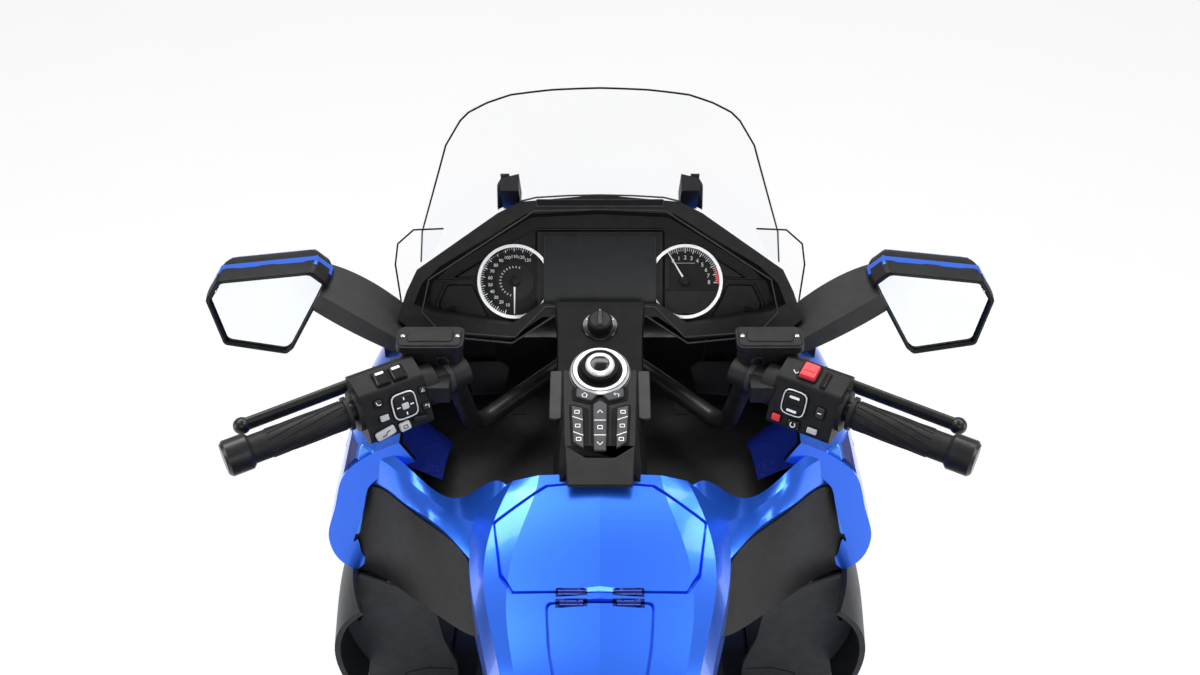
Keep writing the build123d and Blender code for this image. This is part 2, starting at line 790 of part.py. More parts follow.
def side_stand_plane(shift):
    """Plane square to the side stand's pin: local x points forwards."""
    return Plane(origin=SIDE_STAND_AT + SIDE_STAND_AXIS * shift, x_dir=(0, 1, 0), z_dir=SIDE_STAND_AXIS)


with BuildPart() as side_stand:
    with BuildSketch(side_stand_plane(-7)):
        Circle(17)
        with Locations((-SIDE_STAND_L / 2, 0)):
            Rectangle(SIDE_STAND_L, 20)
        with Locations((-SIDE_STAND_L, 0)):
            Rectangle(22, 46)
    extrude(amount=14)
    with BuildSketch(side_stand_plane(-10)):
        Circle(SIDE_STAND_PIN_R + AXLE_CLEARANCE)
    extrude(amount=20, mode=Mode.SUBTRACT)
write(side_stand.part, "side_stand")

with BuildPart() as side_stand_bracket:
    with BuildSketch(side_stand_plane(-12)):
        Circle(SIDE_STAND_PIN_R + 5)
    extrude(amount=4.6)
    with BuildSketch(side_stand_plane(-12)):
        Circle(SIDE_STAND_PIN_R)
    extrude(amount=20)
    with BuildSketch(side_stand_plane(7.4)):
        Circle(17)
        with Locations((30, 0)):
            Rectangle(60, 34)
    extrude(amount=12)
    with Locations((-141, -27, 206)):
        Box(110, 50, 20)
    add(engine.part, mode=Mode.SUBTRACT)
write(side_stand_bracket.part, "side_stand_bracket")

# ---------------------------------------------------------------- footrests
with BuildPart() as footrest_half:
    with BuildSketch(across(-130)) as plate:
        Polygon((96, 300), (200, 300), (200, 340), (96, 340), align=None)
    extrude(amount=-60)
    with Locations((275, -100, 332)):
        Box(150, 62, 16)
    with BuildSketch(along(RAIL_X + 18)):
        Polygon((-250, 440), (-222, 440), (-240, 462), (-420, 470), (-420, 442), (-330, 436), align=None)
    extrude(amount=14)
    with Locations((250, -400, 450)):
        Box(190, 84, 18)
    add(frame.part, mode=Mode.SUBTRACT)
    add(engine.part, mode=Mode.SUBTRACT)
write(pair_of(footrest_half.part), "footrests")

# ---------------------------------------------------------------- thin panels
def strip(points, thickness):
    """A band along the points and back again that far to their left."""
    inner = []
    for index in range(len(points)):
        before = points[max(index - 1, 0)]
        after = points[min(index + 1, len(points) - 1)]
        run = Vector(after[0] - before[0], after[1] - before[1]).normalized()
        inner.append((points[index][0] - run.Y * thickness, points[index][1] + run.X * thickness))
    return inner


def band_loft(sections, thickness):
    """A smooth panel through open curves, of (plane, points), thickened to the left of their run."""
    with BuildPart() as panel:
        for plane, points in sections:
            inner = strip(points, thickness)
            with BuildSketch(plane):
                with BuildLine():
                    Spline(*points)
                    Line(points[-1], inner[-1])
                    Spline(*reversed(inner))
                    Line(inner[0], points[0])
                make_face()
        loft()
    return panel.part


def prism(outline, z0, z1, radius=0.0):
    """An upright prism over a plan outline."""
    with BuildPart() as column:
        with BuildSketch(level(z0)) as plan:
            Polygon(*outline, align=None)
            if radius:
                fillet(plan.vertices(), radius)
        extrude(amount=z1 - z0)
    return column.part


def plan_halves(points):
    """A right half plan, from its front centre to its rear centre, made whole."""
    return points + [(-x, y) for x, y in reversed(points) if x]


# ---------------------------------------------------------------- tank cover with its two lids
TANK_STATIONS = [
    (-150, [(0, 852), (80, 846), (95, 835), (105, 800), (108, 745), (0, 745)]),
    (-118, [(0, 906), (88, 901), (105, 885), (118, 840), (120, 760), (0, 760)]),
    (-65, [(0, 927), (100, 920), (116, 908), (128, 860), (130, 780), (0, 780)]),
    (28, [(0, 947), (112, 939), (138, 925), (150, 880), (150, 800), (0, 800)]),
    (120, [(0, 967), (95, 962), (136, 950), (165, 915), (175, 860), (0, 860)]),
    (190, [(0, 980), (78, 976), (112, 966), (150, 932), (168, 885), (0, 885)]),
]
GLOVE_PLAN = [(0, 176), (66, 172), (131, 127), (119, 56), (104, 30), (0, 26)]
FUEL_PLAN = [(0, 12), (62, 10), (58, -40), (50, -86), (0, -90)]
LID_T = 10.0  # depth of the opening that a lid lies in
LID_AIR = 1.5  # under a shut lid
GLOVE_REAR = 26.0
FUEL_FRONT = 12.0


def scaled(points, dx, dy_front, dy_rear):
    """A half plan grown sideways, at its front and at its rear."""
    middle = (points[0][1] + points[-1][1]) / 2
    grown = []
    for x, y in points:
        grown.append((x + dx if x else 0, y + dy_front if y > middle else y - dy_rear))
    return grown


with BuildPart() as tank_outer:
    add(loft_of([(across(y), both_halves(points)) for y, points in TANK_STATIONS]))

with BuildPart() as tank_skin:
    add(tank_outer.part)
    with Locations((0, 0, -LID_T)):
        add(tank_outer.part, mode=Mode.SUBTRACT)

with BuildPart() as lid_skin:
    add(tank_outer.part)
    with Locations((0, 0, LID_AIR - LID_T)):
        add(tank_outer.part, mode=Mode.SUBTRACT)

with BuildPart() as glove_lid_blank:
    add(lid_skin.part)
    add(prism(plan_halves(GLOVE_PLAN), 900, 1010, 4), mode=Mode.INTERSECT)
with BuildPart() as fuel_lid_blank:
    add(lid_skin.part)
    add(prism(plan_halves(FUEL_PLAN), 890, 1010, 6), mode=Mode.INTERSECT)


def lid_opening(plan, z0, z1, radius):
    """The part of the tank's skin that a lid and its gap take."""
    with BuildPart() as opening:
        add(tank_skin.part)
        drawn_in = plan_halves(scaled(plan, PANEL_GAP, PANEL_GAP, PANEL_GAP))
        add(prism(drawn_in, z0, z1, radius), mode=Mode.INTERSECT)
    return opening.part


HINGE_R = 5.0
HINGE_PIN_R = 2.5
HINGE_SPOT = 34.0  # middle of a hinge from the centre line
HINGE_AIR = 1.0


def hinge_line(x0, x1, y, z, radius):
    """A cylinder along X."""
    with BuildPart() as line:
        with BuildSketch(Plane(origin=(x0, y, z), x_dir=(0, 1, 0), z_dir=(1, 0, 0))):
            Circle(radius)
        extrude(amount=x1 - x0)
    return line.part


def hinged_lid(blank, y, z, spots, half_width):
    """Adds the moving knuckles, bored for the pin, and clears the fixed ones."""
    with BuildPart() as lid:
        add(blank)
        for spot in spots:
            for start in (spot - half_width - 8, spot + half_width + 1):
                add(hinge_line(start, start + 7, y, z, HINGE_R + HINGE_AIR), mode=Mode.SUBTRACT)
            add(hinge_line(spot - half_width, spot + half_width, y, z, HINGE_R))
        for spot in spots:
            add(
                hinge_line(spot - half_width - 8, spot + half_width + 8, y, z, HINGE_PIN_R + AXLE_CLEARANCE),
                mode=Mode.SUBTRACT,
            )
    return lid.part


def hinged_base(base, y, z, spots, half_width):
    """Adds the fixed knuckles with their pins, and clears the moving ones."""
    with BuildPart() as fixed:
        add(base)
        for spot in spots:
            add(
                hinge_line(spot - half_width - 1, spot + half_width + 1, y, z, HINGE_R + HINGE_AIR),
                mode=Mode.SUBTRACT,
            )
            for start in (spot - half_width - 7, spot + half_width + 1):
                add(hinge_line(start, start + 6, y, z, HINGE_R))
            add(hinge_line(spot - half_width - 2, spot + half_width + 2, y, z, HINGE_PIN_R))
    return fixed.part


GLOVE_HINGE = (GLOVE_REAR, 941.0)
FUEL_HINGE = (FUEL_FRONT, 938.5)


def edge_bevel(y, z, forward):
    """What a lid's hinged edge loses so that it turns clear of the skin behind its hinge."""
    outline = [(-5, 0.5), (0, 0.5), (5.2, 7), (5.2, 16), (-5, 16)]
    with BuildPart() as wedge:
        with BuildSketch(along(-110)):
            Polygon(*[(y + forward * run, z + rise) for run, rise in outline], align=None)
        extrude(amount=220)
    return wedge.part


with BuildPart() as glove_pocket:
    add(prism(plan_halves(scaled(GLOVE_PLAN, -22, -16, -18)), 880, 1000, 6))
with BuildPart() as fuel_pocket:
    add(prism(plan_halves(scaled(FUEL_PLAN, -14, -16, -10)), 892, 1000, 6))

with BuildPart() as tank_blank:
    add(tank_outer.part)
    add(lid_opening(GLOVE_PLAN, 895, 1015, 5), mode=Mode.SUBTRACT)
    add(lid_opening(FUEL_PLAN, 885, 1015, 7), mode=Mode.SUBTRACT)
    add(glove_pocket.part, mode=Mode.SUBTRACT)
    add(fuel_pocket.part, mode=Mode.SUBTRACT)
    with BuildSketch(level(880)):
        with Locations((0, -36)):
            Circle(30)
    extrude(amount=34)

# arms from the tank out to the fairings, over the black knee pads
ARM_STATIONS = [
    (118, [(206, 940), (190, 955), (150, 950), (122, 925), (122, 885), (206, 885)]),
    (165, [(224, 912), (214, 924), (160, 924), (109, 911), (111, 882), (220, 876)]),
    (200, [(226, 898), (215, 911), (186, 916), (154, 911), (156, 882), (222, 872)]),
    (245, [(238, 930), (226, 946), (212, 938), (193, 912), (195, 882), (236, 876)]),
    (300, [(264, 955), (252, 966), (244, 956), (241, 913), (243, 882), (262, 880)]),
    (318, [(266, 945), (258, 956), (252, 946), (249, 912), (250, 884), (264, 880)]),
]
with BuildPart() as arm_half:
    add(loft_of([(along(x), points) for x, points in ARM_STATIONS]))

with BuildPart() as tank_cover:
    add(hinged_base(tank_blank.part, *GLOVE_HINGE, (-HINGE_SPOT, HINGE_SPOT), 9))
    add(arm_half.part)
    mirror(arm_half.part, about=Plane.YZ)
with BuildPart() as tank_final:
    add(hinged_base(tank_cover.part, *FUEL_HINGE, (-HINGE_SPOT, HINGE_SPOT), 7))
    add(frame.part, mode=Mode.SUBTRACT)
write(tank_final.part, "tank_cover")
with BuildPart() as glove_lid_edge:
    add(glove_lid_blank.part)
    add(edge_bevel(*GLOVE_HINGE, 1), mode=Mode.SUBTRACT)
with BuildPart() as fuel_lid_edge:
    add(fuel_lid_blank.part)
    add(edge_bevel(*FUEL_HINGE, -1), mode=Mode.SUBTRACT)
write(hinged_lid(glove_lid_edge.part, *GLOVE_HINGE, (-HINGE_SPOT, HINGE_SPOT), 9), "glovebox_lid")
write(hinged_lid(fuel_lid_edge.part, *FUEL_HINGE, (-HINGE_SPOT, HINGE_SPOT), 7), "fuel_lid")

# ---------------------------------------------------------------- nose and side fairings
NOSE_STATIONS = [
    (560, [(0, 1004), (200, 1002), (286, 975), (318, 880), (300, 760), (240, 742), (0, 742)]),
    (660, [(0, 996), (180, 990), (262, 955), (290, 870), (268, 768), (215, 742), (0, 742)]),
    (740, [(0, 972), (150, 962), (215, 915), (228, 855), (205, 778), (160, 748), (0, 748)]),
    (800, [(0, 925), (90, 915), (140, 880), (145, 840), (125, 790), (95, 770), (0, 770)]),
]
NOSE_MIDDLE = 873.0
LAMP_OUTLINE = [(34, 900), (196, 928), (222, 872), (172, 812), (34, 800)]
LAMP_T = 26.0


def drawn_in(points, wall):
    """A half outline about the nose's middle, drawn in by about a wall."""
    across_share, up_share = 1 - wall / 290, 1 - wall / 128
    return [(x * across_share, NOSE_MIDDLE + (z - NOSE_MIDDLE) * up_share) for x, z in points]


def nose_solid(wall, front_shift, rear_shift):
    """The nose's outer form, drawn in by a wall all round."""
    sections = []
    for index, (y, points) in enumerate(NOSE_STATIONS):
        shift = rear_shift if index == 0 else (front_shift if index == len(NOSE_STATIONS) - 1 else 0.0)
        sections.append((across(y - shift), both_halves(drawn_in(points, wall) if wall else points)))
    return loft_of(sections, 12)


def lamp_region(grow):
    """The region that a headlamp, or its opening in the nose, takes."""
    with BuildPart() as region:
        with BuildSketch(across(640)) as outline:
            Polygon(*LAMP_OUTLINE, align=None)
            fillet(outline.vertices(), 10)
            if grow:
                offset(amount=grow)
        extrude(amount=-200)
        mirror(about=Plane.YZ)
    return region.part


with BuildPart() as nose_outer:
    add(nose_solid(0, 0, 0))
with BuildPart() as nose_skin:
    add(nose_outer.part)
    add(nose_solid(WALL, WALL, 1), mode=Mode.SUBTRACT)
with BuildPart() as lamp_skin:
    add(nose_outer.part)
    add(nose_solid(LAMP_T, LAMP_T, 1), mode=Mode.SUBTRACT)
with BuildPart() as nose:
    add(nose_skin.part)
    add(lamp_region(0), mode=Mode.SUBTRACT)
    with Locations((0, 630, 745)):
        Box(250, 190, 60, mode=Mode.SUBTRACT)
write(nose.part, "nose_fairing")
with BuildPart() as headlamps:
    add(lamp_skin.part)
    add(lamp_region(0), mode=Mode.INTERSECT)
    with Locations((0, 640, 870)):
        Box(600, 90, 300, mode=Mode.SUBTRACT)
write(headlamps.part, "headlamps")

SIDE_STATIONS = [
    (246, [(262, 988), (306, 964), (341, 930), (361, 868), (377, 812), (377, 797), (368, 764), (345, 743)]),
    (330, [(266, 998), (308, 966), (344, 928), (365, 868), (379, 812), (378, 795), (368, 762), (348, 724)]),
    (450, [(258, 1006), (306, 970), (341, 924), (360, 868), (367, 812), (364, 792), (352, 762), (325, 718)]),
    (559.7, [(200, 1002), (286, 975), (306, 932), (316, 885), (318, 860), (317, 845), (312, 815), (300, 760)]),
]
SIDE_T = 7.0
FLANGE_W = 38.0
with BuildPart() as side_half:
    add(band_loft([(across(y), points) for y, points in SIDE_STATIONS], -SIDE_T))
    with BuildSketch(across(SIDE_STATIONS[0][0])):
        inner = strip(SIDE_STATIONS[0][1], -FLANGE_W)
        with BuildLine():
            Spline(*SIDE_STATIONS[0][1])
            Line(SIDE_STATIONS[0][1][-1], inner[-1])
            Spline(*reversed(inner))
            Line(inner[0], SIDE_STATIONS[0][1][0])
        make_face()
    extrude(amount=8)
    add(tank_final.part, mode=Mode.SUBTRACT)
side_fairings = pair_of(side_half.part)
write(side_fairings, "side_fairings")

# ---------------------------------------------------------------- dash hood, instruments, console
DASH_AT = Vector(0, 529, 1050)
DASH_TILT = 35.0  # the face leans back from upright, degrees
DASH_NORMAL = Vector(0, -cos(radians(DASH_TILT)), sin(radians(DASH_TILT)))
RIM_PROUD = 45.0
RIM = [
    (0, 114),
    (113, 104),
    (145, 88),
    (260, 8),
    (275, -23),
    (288, -62),
    (268, -79),
    (127, -90),
    (82, -59),
    (0, -59),
]
OPENING = [
    (0, 92),
    (105, 87),
    (227, 13),
    (253, -11),
    (265, -41),
    (241, -52),
    (129, -71),
    (85, -41),
    (0, -41),
]
HOOD_BACK = 14.0
GAUGE_X = 124.0
GAUGE_V = -9.0
GAUGE_R = 54.0
GAUGE_RING = 4.5
DISPLAY_HALF = 82.0
DISPLAY_V = (-42.0, 56.0)


def dash_plane(height):
    """Plane of the instrument face, that far towards the rider: local y is up the face."""
    return Plane(origin=DASH_AT + DASH_NORMAL * height, x_dir=(1, 0, 0), z_dir=DASH_NORMAL)


def about_middle(points, share):
    return [(x * share, 12 + (v - 12) * share) for x, v in points]


with BuildPart() as hood:
    add(
        loft_of(
            [
                (dash_plane(-HOOD_BACK), both_halves(about_middle(RIM, 0.955))),
                (dash_plane(4), both_halves(about_middle(RIM, 1.0))),
                (dash_plane(RIM_PROUD), both_halves(RIM)),
            ],
            ruled=True,
        )
    )
    add(
        loft_of(
            [
                (dash_plane(-HOOD_BACK - 1), both_halves(about_middle(OPENING, 0.94))),
                (dash_plane(RIM_PROUD + 1), both_halves(OPENING)),
            ],
            ruled=True,
        ),
        mode=Mode.SUBTRACT,
    )
    add(side_fairings, mode=Mode.SUBTRACT)
write(hood.part, "dash_hood")

with BuildPart() as instruments:
    with BuildSketch(dash_plane(-HOOD_BACK - 8)):
        Polygon(*both_halves(about_middle(OPENING, 1.03)), align=None)
    extrude(amount=8)
    with BuildSketch(dash_plane(-HOOD_BACK)):
        Polygon(*both_halves(about_middle(OPENING, 1.0)), align=None)
    extrude(amount=HOOD_BACK)
    with BuildSketch(dash_plane(-6)):
        with Locations((-GAUGE_X, GAUGE_V), (GAUGE_X, GAUGE_V)):
            Circle(GAUGE_R)
    extrude(amount=7, mode=Mode.SUBTRACT)
    with BuildSketch(dash_plane(-6)):
        with Locations((0, sum(DISPLAY_V) / 2)):
            Rectangle(2 * DISPLAY_HALF, DISPLAY_V[1] - DISPLAY_V[0])
    extrude(amount=9)
    add(hood.part, mode=Mode.SUBTRACT)
    add(side_fairings, mode=Mode.SUBTRACT)
write(instruments.part, "instrument_panel")

with BuildPart() as rings:
    with BuildSketch(dash_plane(-6)):
        with Locations((-GAUGE_X, GAUGE_V), (GAUGE_X, GAUGE_V)):
            Circle(GAUGE_R)
            Circle(GAUGE_R - GAUGE_RING, mode=Mode.SUBTRACT)
        with Locations((0, sum(DISPLAY_V) / 2)):
            Rectangle(2 * DISPLAY_HALF, DISPLAY_V[1] - DISPLAY_V[0], mode=Mode.SUBTRACT)
    extrude(amount=14)
    add(instruments.part, mode=Mode.SUBTRACT)
    add(hood.part, mode=Mode.SUBTRACT)
write(rings.part, "gauge_rings")

CONSOLE_TOP = [(400, 1037), (163, 982.6)]
CONSOLE_SLOPE = (CONSOLE_TOP[0][1] - CONSOLE_TOP[1][1]) / (CONSOLE_TOP[0][0] - CONSOLE_TOP[1][0])
CONSOLE_STATIONS = [
    (180, 44, 62, 66),
    (240, 50, 60, 34),
    (330, 56, 60, 28),
    (412, 58, 60, 26),
    (462, 62, 64, 24),
]


def console_height(y):
    return CONSOLE_TOP[1][1] + (y - CONSOLE_TOP[1][0]) * CONSOLE_SLOPE


with BuildPart() as console:
    add(
        loft_of(
            [
                (
                    across(y),
                    both_halves(
                        [
                            (0, console_height(y)),
                            (top, console_height(y)),
                            (bottom, console_height(y) - min(deep, 26)),
                            (bottom, console_height(y) - deep),
                            (0, console_height(y) - deep),
                        ]
                    ),
                )
                for y, top, bottom, deep in CONSOLE_STATIONS
            ],
            ruled=True,
        )
    )
    knob_normal = (0, -CONSOLE_SLOPE, 1)
    with BuildSketch(Plane(origin=(0, 338, console_height(338) - 2), x_dir=(1, 0, 0), z_dir=knob_normal)):
        Circle(41)
    extrude(amount=8)
    with BuildSketch(Plane(origin=(0, 338, console_height(338) + 6), x_dir=(1, 0, 0), z_dir=knob_normal)):
        Circle(25)
    extrude(amount=12)
    with BuildSketch(Plane(origin=(0, 418, console_height(418) - 2), x_dir=(1, 0, 0), z_dir=knob_normal)):
        Circle(17)
    extrude(amount=16)
    add(hood.part, mode=Mode.SUBTRACT)
    add(instruments.part, mode=Mode.SUBTRACT)
    add(tank_final.part, mode=Mode.SUBTRACT)
    add(glove_lid_blank.part, mode=Mode.SUBTRACT)
write(console.part, "console")

# ---------------------------------------------------------------- cockpit floor, which carries the dash
FLOOR_Z = 843.0
FLOOR_T = 6.0
FLOOR_PLAN = [
    (0, 640),
    (280, 640),
    (306, 560),
    (354, 460),
    (362, 300),
    (362, 256),
    (170, 256),
    (150, 196),
    (0, 196),
]
STEM_HOLE_Y = FRONT_AXLE_Y + TRAIL - FLOOR_Z * tan(radians(RAKE))
with BuildPart() as floor:
    with BuildSketch(level(FLOOR_Z)):
        Polygon(*plan_halves(FLOOR_PLAN), align=None)
        with Locations((0, STEM_HOLE_Y)):
            Circle(44, mode=Mode.SUBTRACT)
    extrude(amount=FLOOR_T)
    for side in (-1, 1):
        with Locations((side * 214, 515, 930)):
            Box(8, 50, 170)
        with Locations((side * 122, 480, 800)):
            Box(20, 60, 100)
    add(nose.part, mode=Mode.SUBTRACT)
    add(side_fairings, mode=Mode.SUBTRACT)
    add(hood.part, mode=Mode.SUBTRACT)
    add(instruments.part, mode=Mode.SUBTRACT)
    add(frame.part, mode=Mode.SUBTRACT)
    add(tank_final.part, mode=Mode.SUBTRACT)
write(floor.part, "cockpit_floor")

# ---------------------------------------------------------------- knee pads, lower cowls, speakers
PAD_STATIONS = [
    (150, [(82, 884), (44, 838)]),
    (165, [(105, 905), (56, 826)]),
    (200, [(150, 907), (94, 806)]),
    (245, [(189, 908), (147, 782)]),
    (300, [(237, 908), (212, 752)]),
    (345, [(243, 868), (240, 742)]),
]
PAD_T = 9.0
with BuildPart() as pad_half:
    add(
        loft_of(
            [
                (along(x), [low, top, (top[0] + PAD_T, top[1]), (low[0] + PAD_T, low[1])])
                for x, (top, low) in PAD_STATIONS
            ]
        )
    )
    with BuildSketch(across(500)):
        Polygon((150, FLOOR_Z + FLOOR_T), (296, FLOOR_Z + FLOOR_T), (290, 968), (160, 968), align=None)
    extrude(amount=-12)
    add(tank_final.part, mode=Mode.SUBTRACT)
    add(side_fairings, mode=Mode.SUBTRACT)
    add(floor.part, mode=Mode.SUBTRACT)
    add(hood.part, mode=Mode.SUBTRACT)
write(pair_of(pad_half.part), "inner_fairings")

COWL_STATIONS = [
    (160, [(330, 745), (366, 700), (374, 620), (352, 552)]),
    (246, [(352, 744), (376, 700), (380, 620), (356, 545)]),
    (400, [(336, 716), (368, 690), (374, 610), (350, 540)]),
    (540, [(300, 742), (318, 700), (320, 640), (300, 580)]),
]
with BuildPart() as cowl_half:
    add(band_loft([(across(y), points) for y, points in COWL_STATIONS], -8))
    with Locations((255, 330, 660)):
        Box(230, 22, 30)
    add(side_fairings, mode=Mode.SUBTRACT)
    add(frame.part, mode=Mode.SUBTRACT)
    add(nose.part, mode=Mode.SUBTRACT)
    add(pad_half.part, mode=Mode.SUBTRACT)
write(pair_of(cowl_half.part), "lower_cowls")

# ---------------------------------------------------------------- windscreen, its slides, wind deflectors
SCREEN_LEAN = 36.0  # from upright, degrees
SCREEN_T = 4.5
SCREEN_STATIONS = [(970, 766, 281, 660), (1100, 672, 264, 572), (1240, 560, 224, 490), (1440, 408, 172, 400)]
SCREEN_OUTLINE = [
    (0, SCREEN_TOP),
    (110, SCREEN_TOP - 8),
    (168, SCREEN_TOP - 34),
    (200, 1310),
    (262, 1100),
    (281, 1000),
    (250, 985),
    (0, 985),
]
SLIDE_X = 128.0
SLIDE_ROD_R = 6.0
with BuildPart() as screen_sheet:
    for z, centre_y, side_x, side_y in SCREEN_STATIONS:
        with BuildSketch(level(z)):
            with BuildLine():
                ThreePointArc((-side_x, side_y), (0, centre_y), (side_x, side_y))
                back_x, back_y = side_x - 2, side_y - SCREEN_T
                Line((side_x, side_y), (back_x, back_y))
                ThreePointArc((back_x, back_y), (0, centre_y - SCREEN_T), (-back_x, back_y))
                Line((-back_x, back_y), (-side_x, side_y))
            make_face()
    loft()
with BuildPart() as screen:
    add(screen_sheet.part)
    with BuildSketch(across(300)) as screen_front:
        Polygon(*both_halves(SCREEN_OUTLINE), align=None)
        fillet(screen_front.vertices(), 16)
    extrude(amount=-500, mode=Mode.INTERSECT)
write(screen.part, "windscreen")

SLIDE_DIR = Vector(0, -sin(radians(SCREEN_LEAN)), cos(radians(SCREEN_LEAN)))
SLIDE_FOOT = Vector(0, 704, 990)
SLEEVE_TOP = 140.0
SLIDE_TOP = 238.0


def slide_plane(distance):
    """Plane square to the screen's slide, that far up from the rods' feet: local y is forwards and up."""
    return Plane(origin=SLIDE_FOOT + SLIDE_DIR * distance, x_dir=(1, 0, 0), z_dir=SLIDE_DIR)


with BuildPart() as slides:
    with BuildSketch(slide_plane(2)):
        with Locations((-SLIDE_X, 0), (SLIDE_X, 0)):
            Circle(SLIDE_ROD_R)
    extrude(amount=SLIDE_TOP - 2)
    with BuildSketch(slide_plane(SLEEVE_TOP + 30)):
        with Locations((-SLIDE_X, 3), (SLIDE_X, 3)):
            Rectangle(26, 26)
    extrude(amount=SLIDE_TOP - SLEEVE_TOP - 30)
    add(screen_sheet.part, mode=Mode.SUBTRACT)
write(slides.part, "windscreen_slides")

with BuildPart() as sleeves:
    with BuildSketch(slide_plane(-24)):
        with Locations((-SLIDE_X, 0), (SLIDE_X, 0)):
            Circle(SLIDE_ROD_R + 4)
    extrude(amount=SLEEVE_TOP + 24)
    with BuildSketch(slide_plane(-25)):
        with Locations((-SLIDE_X, 0), (SLIDE_X, 0)):
            Circle(SLIDE_ROD_R + AXLE_CLEARANCE)
    extrude(amount=SLEEVE_TOP + 30, mode=Mode.SUBTRACT)
    add(nose_solid(0, 0, 0), mode=Mode.SUBTRACT)
    add(hood.part, mode=Mode.SUBTRACT)
write(sleeves.part, "windscreen_sleeves")

DEFLECTOR = [
    (296, 992),
    (298, 1062),
    (291, 1098),
    (266, 1122),
    (222, 1124),
    (240, 1085),
    (272, 1040),
    (278, 992),
]
with BuildPart() as deflector_half:
    with BuildSketch(across(540)):
        Polygon(*DEFLECTOR, align=None)
    extrude(amount=-4)
    with Locations((282, 538, 985)):
        Box(26, 18, 40)
    add(side_half.part, mode=Mode.SUBTRACT)
    add(nose_outer.part, mode=Mode.SUBTRACT)
    add(hood.part, mode=Mode.SUBTRACT)
write(pair_of(deflector_half.part), "wind_deflectors")

# ---------------------------------------------------------------- mirrors
MIRROR = [(564, 1025), (544, 1056), (417, 1071), (399, 1053), (460, 945), (471, 935), (553, 951)]
MIRROR_Y = 503.0
MIRROR_MIDDLE = (490.0, 1008.0)
GLASS_T = 3.0


def mirror_outline(grow):
    """The glass's outline grown about its middle by a share."""
    cx, cz = MIRROR_MIDDLE
    return [(cx + (x - cx) * grow, cz + (z - cz) * grow) for x, z in MIRROR]


with BuildPart() as mirror_glass:
    with BuildSketch(across(MIRROR_Y + GLASS_T)) as outline:
        Polygon(*mirror_outline(1.0), align=None)
        fillet(outline.vertices(), 6)
    extrude(amount=GLASS_T)
with BuildPart() as mirror_half:
    add(
        loft_of(
            [
                (across(MIRROR_Y - 5), mirror_outline(1.10)),
                (across(MIRROR_Y + 30), mirror_outline(1.12)),
                (across(MIRROR_Y + 64), mirror_outline(0.98)),
                (across(MIRROR_Y + 84), mirror_outline(0.62)),
            ],
            8,
        )
    )
    add(
        loft_of(
            [
                (along(282), [(424, 985), (500, 985), (500, 1018), (424, 1012)]),
                (along(340), [(446, 1000), (526, 1004), (526, 1046), (446, 1036)]),
                (along(430), [(508, 1010), (560, 1014), (560, 1056), (508, 1048)]),
            ]
        )
    )
    with Locations((296, 470, 985)):
        Box(26, 60, 40)
    with BuildSketch(across(MIRROR_Y + GLASS_T)):
        Polygon(*mirror_outline(1.02), align=None)
    extrude(amount=60, mode=Mode.SUBTRACT)
    add(side_half.part, mode=Mode.SUBTRACT)
    add(hood.part, mode=Mode.SUBTRACT)
write(pair_of(mirror_half.part), "mirror_housings")
write(pair_of(mirror_glass.part), "mirror_glasses")

# ---------------------------------------------------------------- saddlebags
BAG_IN = 152.0
BAG_SPLIT = 322.0
BAG_SEAM_Z = 520.0
BAG_STATIONS = [
    (-1130, [(BAG_IN, 470), (330, 470), (388, 520), (392, 640), (360, 716), (BAG_IN, 722)]),
    (-900, [(BAG_IN, 404), (352, 404), (424, 468), (430, 640), (392, 728), (BAG_IN, 738)]),
    (-760, [(BAG_IN, 402), (352, 402), (424, 464), (430, 631), (391, 722), (BAG_IN, 733)]),
    (-620, [(BAG_IN, 400), (352, 400), (424, 462), (430, 620), (390, 714), (BAG_IN, 726)]),
    (-470, [(BAG_IN, 452), (300, 452), (360, 500), (366, 600), (330, 668), (BAG_IN, 676)]),
]
BAG_HINGE = (431.0, BAG_SEAM_Z)
BAG_HINGE_SPOTS = (-900.0, -660.0)


def shrink_station(points, wall):
    """A closed outline drawn in by about a wall towards its middle."""
    xs, zs = [p[0] for p in points], [p[1] for p in points]
    cx, cz = (max(xs) + min(xs)) / 2, (max(zs) + min(zs)) / 2
    share_x, share_z = 1 - 2 * wall / (max(xs) - min(xs)), 1 - 2 * wall / (max(zs) - min(zs))
    return [(cx + (x - cx) * share_x, cz + (z - cz) * share_z) for x, z in points]


def hinge_rod(x, z, y0, y1, radius):
    """A cylinder along Y."""
    with BuildPart() as rod:
        with BuildSketch(across(y0)):
            with Locations((x, z)):
                Circle(radius)
        extrude(amount=y0 - y1)
    return rod.part


with BuildPart() as bag_shell:
    add(loft_of([(across(y), points) for y, points in BAG_STATIONS], 16))
    inner = []
    for index, (y, points) in enumerate(BAG_STATIONS):
        shift = WALL if index == 0 else (-WALL if index == len(BAG_STATIONS) - 1 else 0)
        inner.append((across(y + shift), shrink_station(points, WALL)))
    add(loft_of(inner, 11), mode=Mode.SUBTRACT)

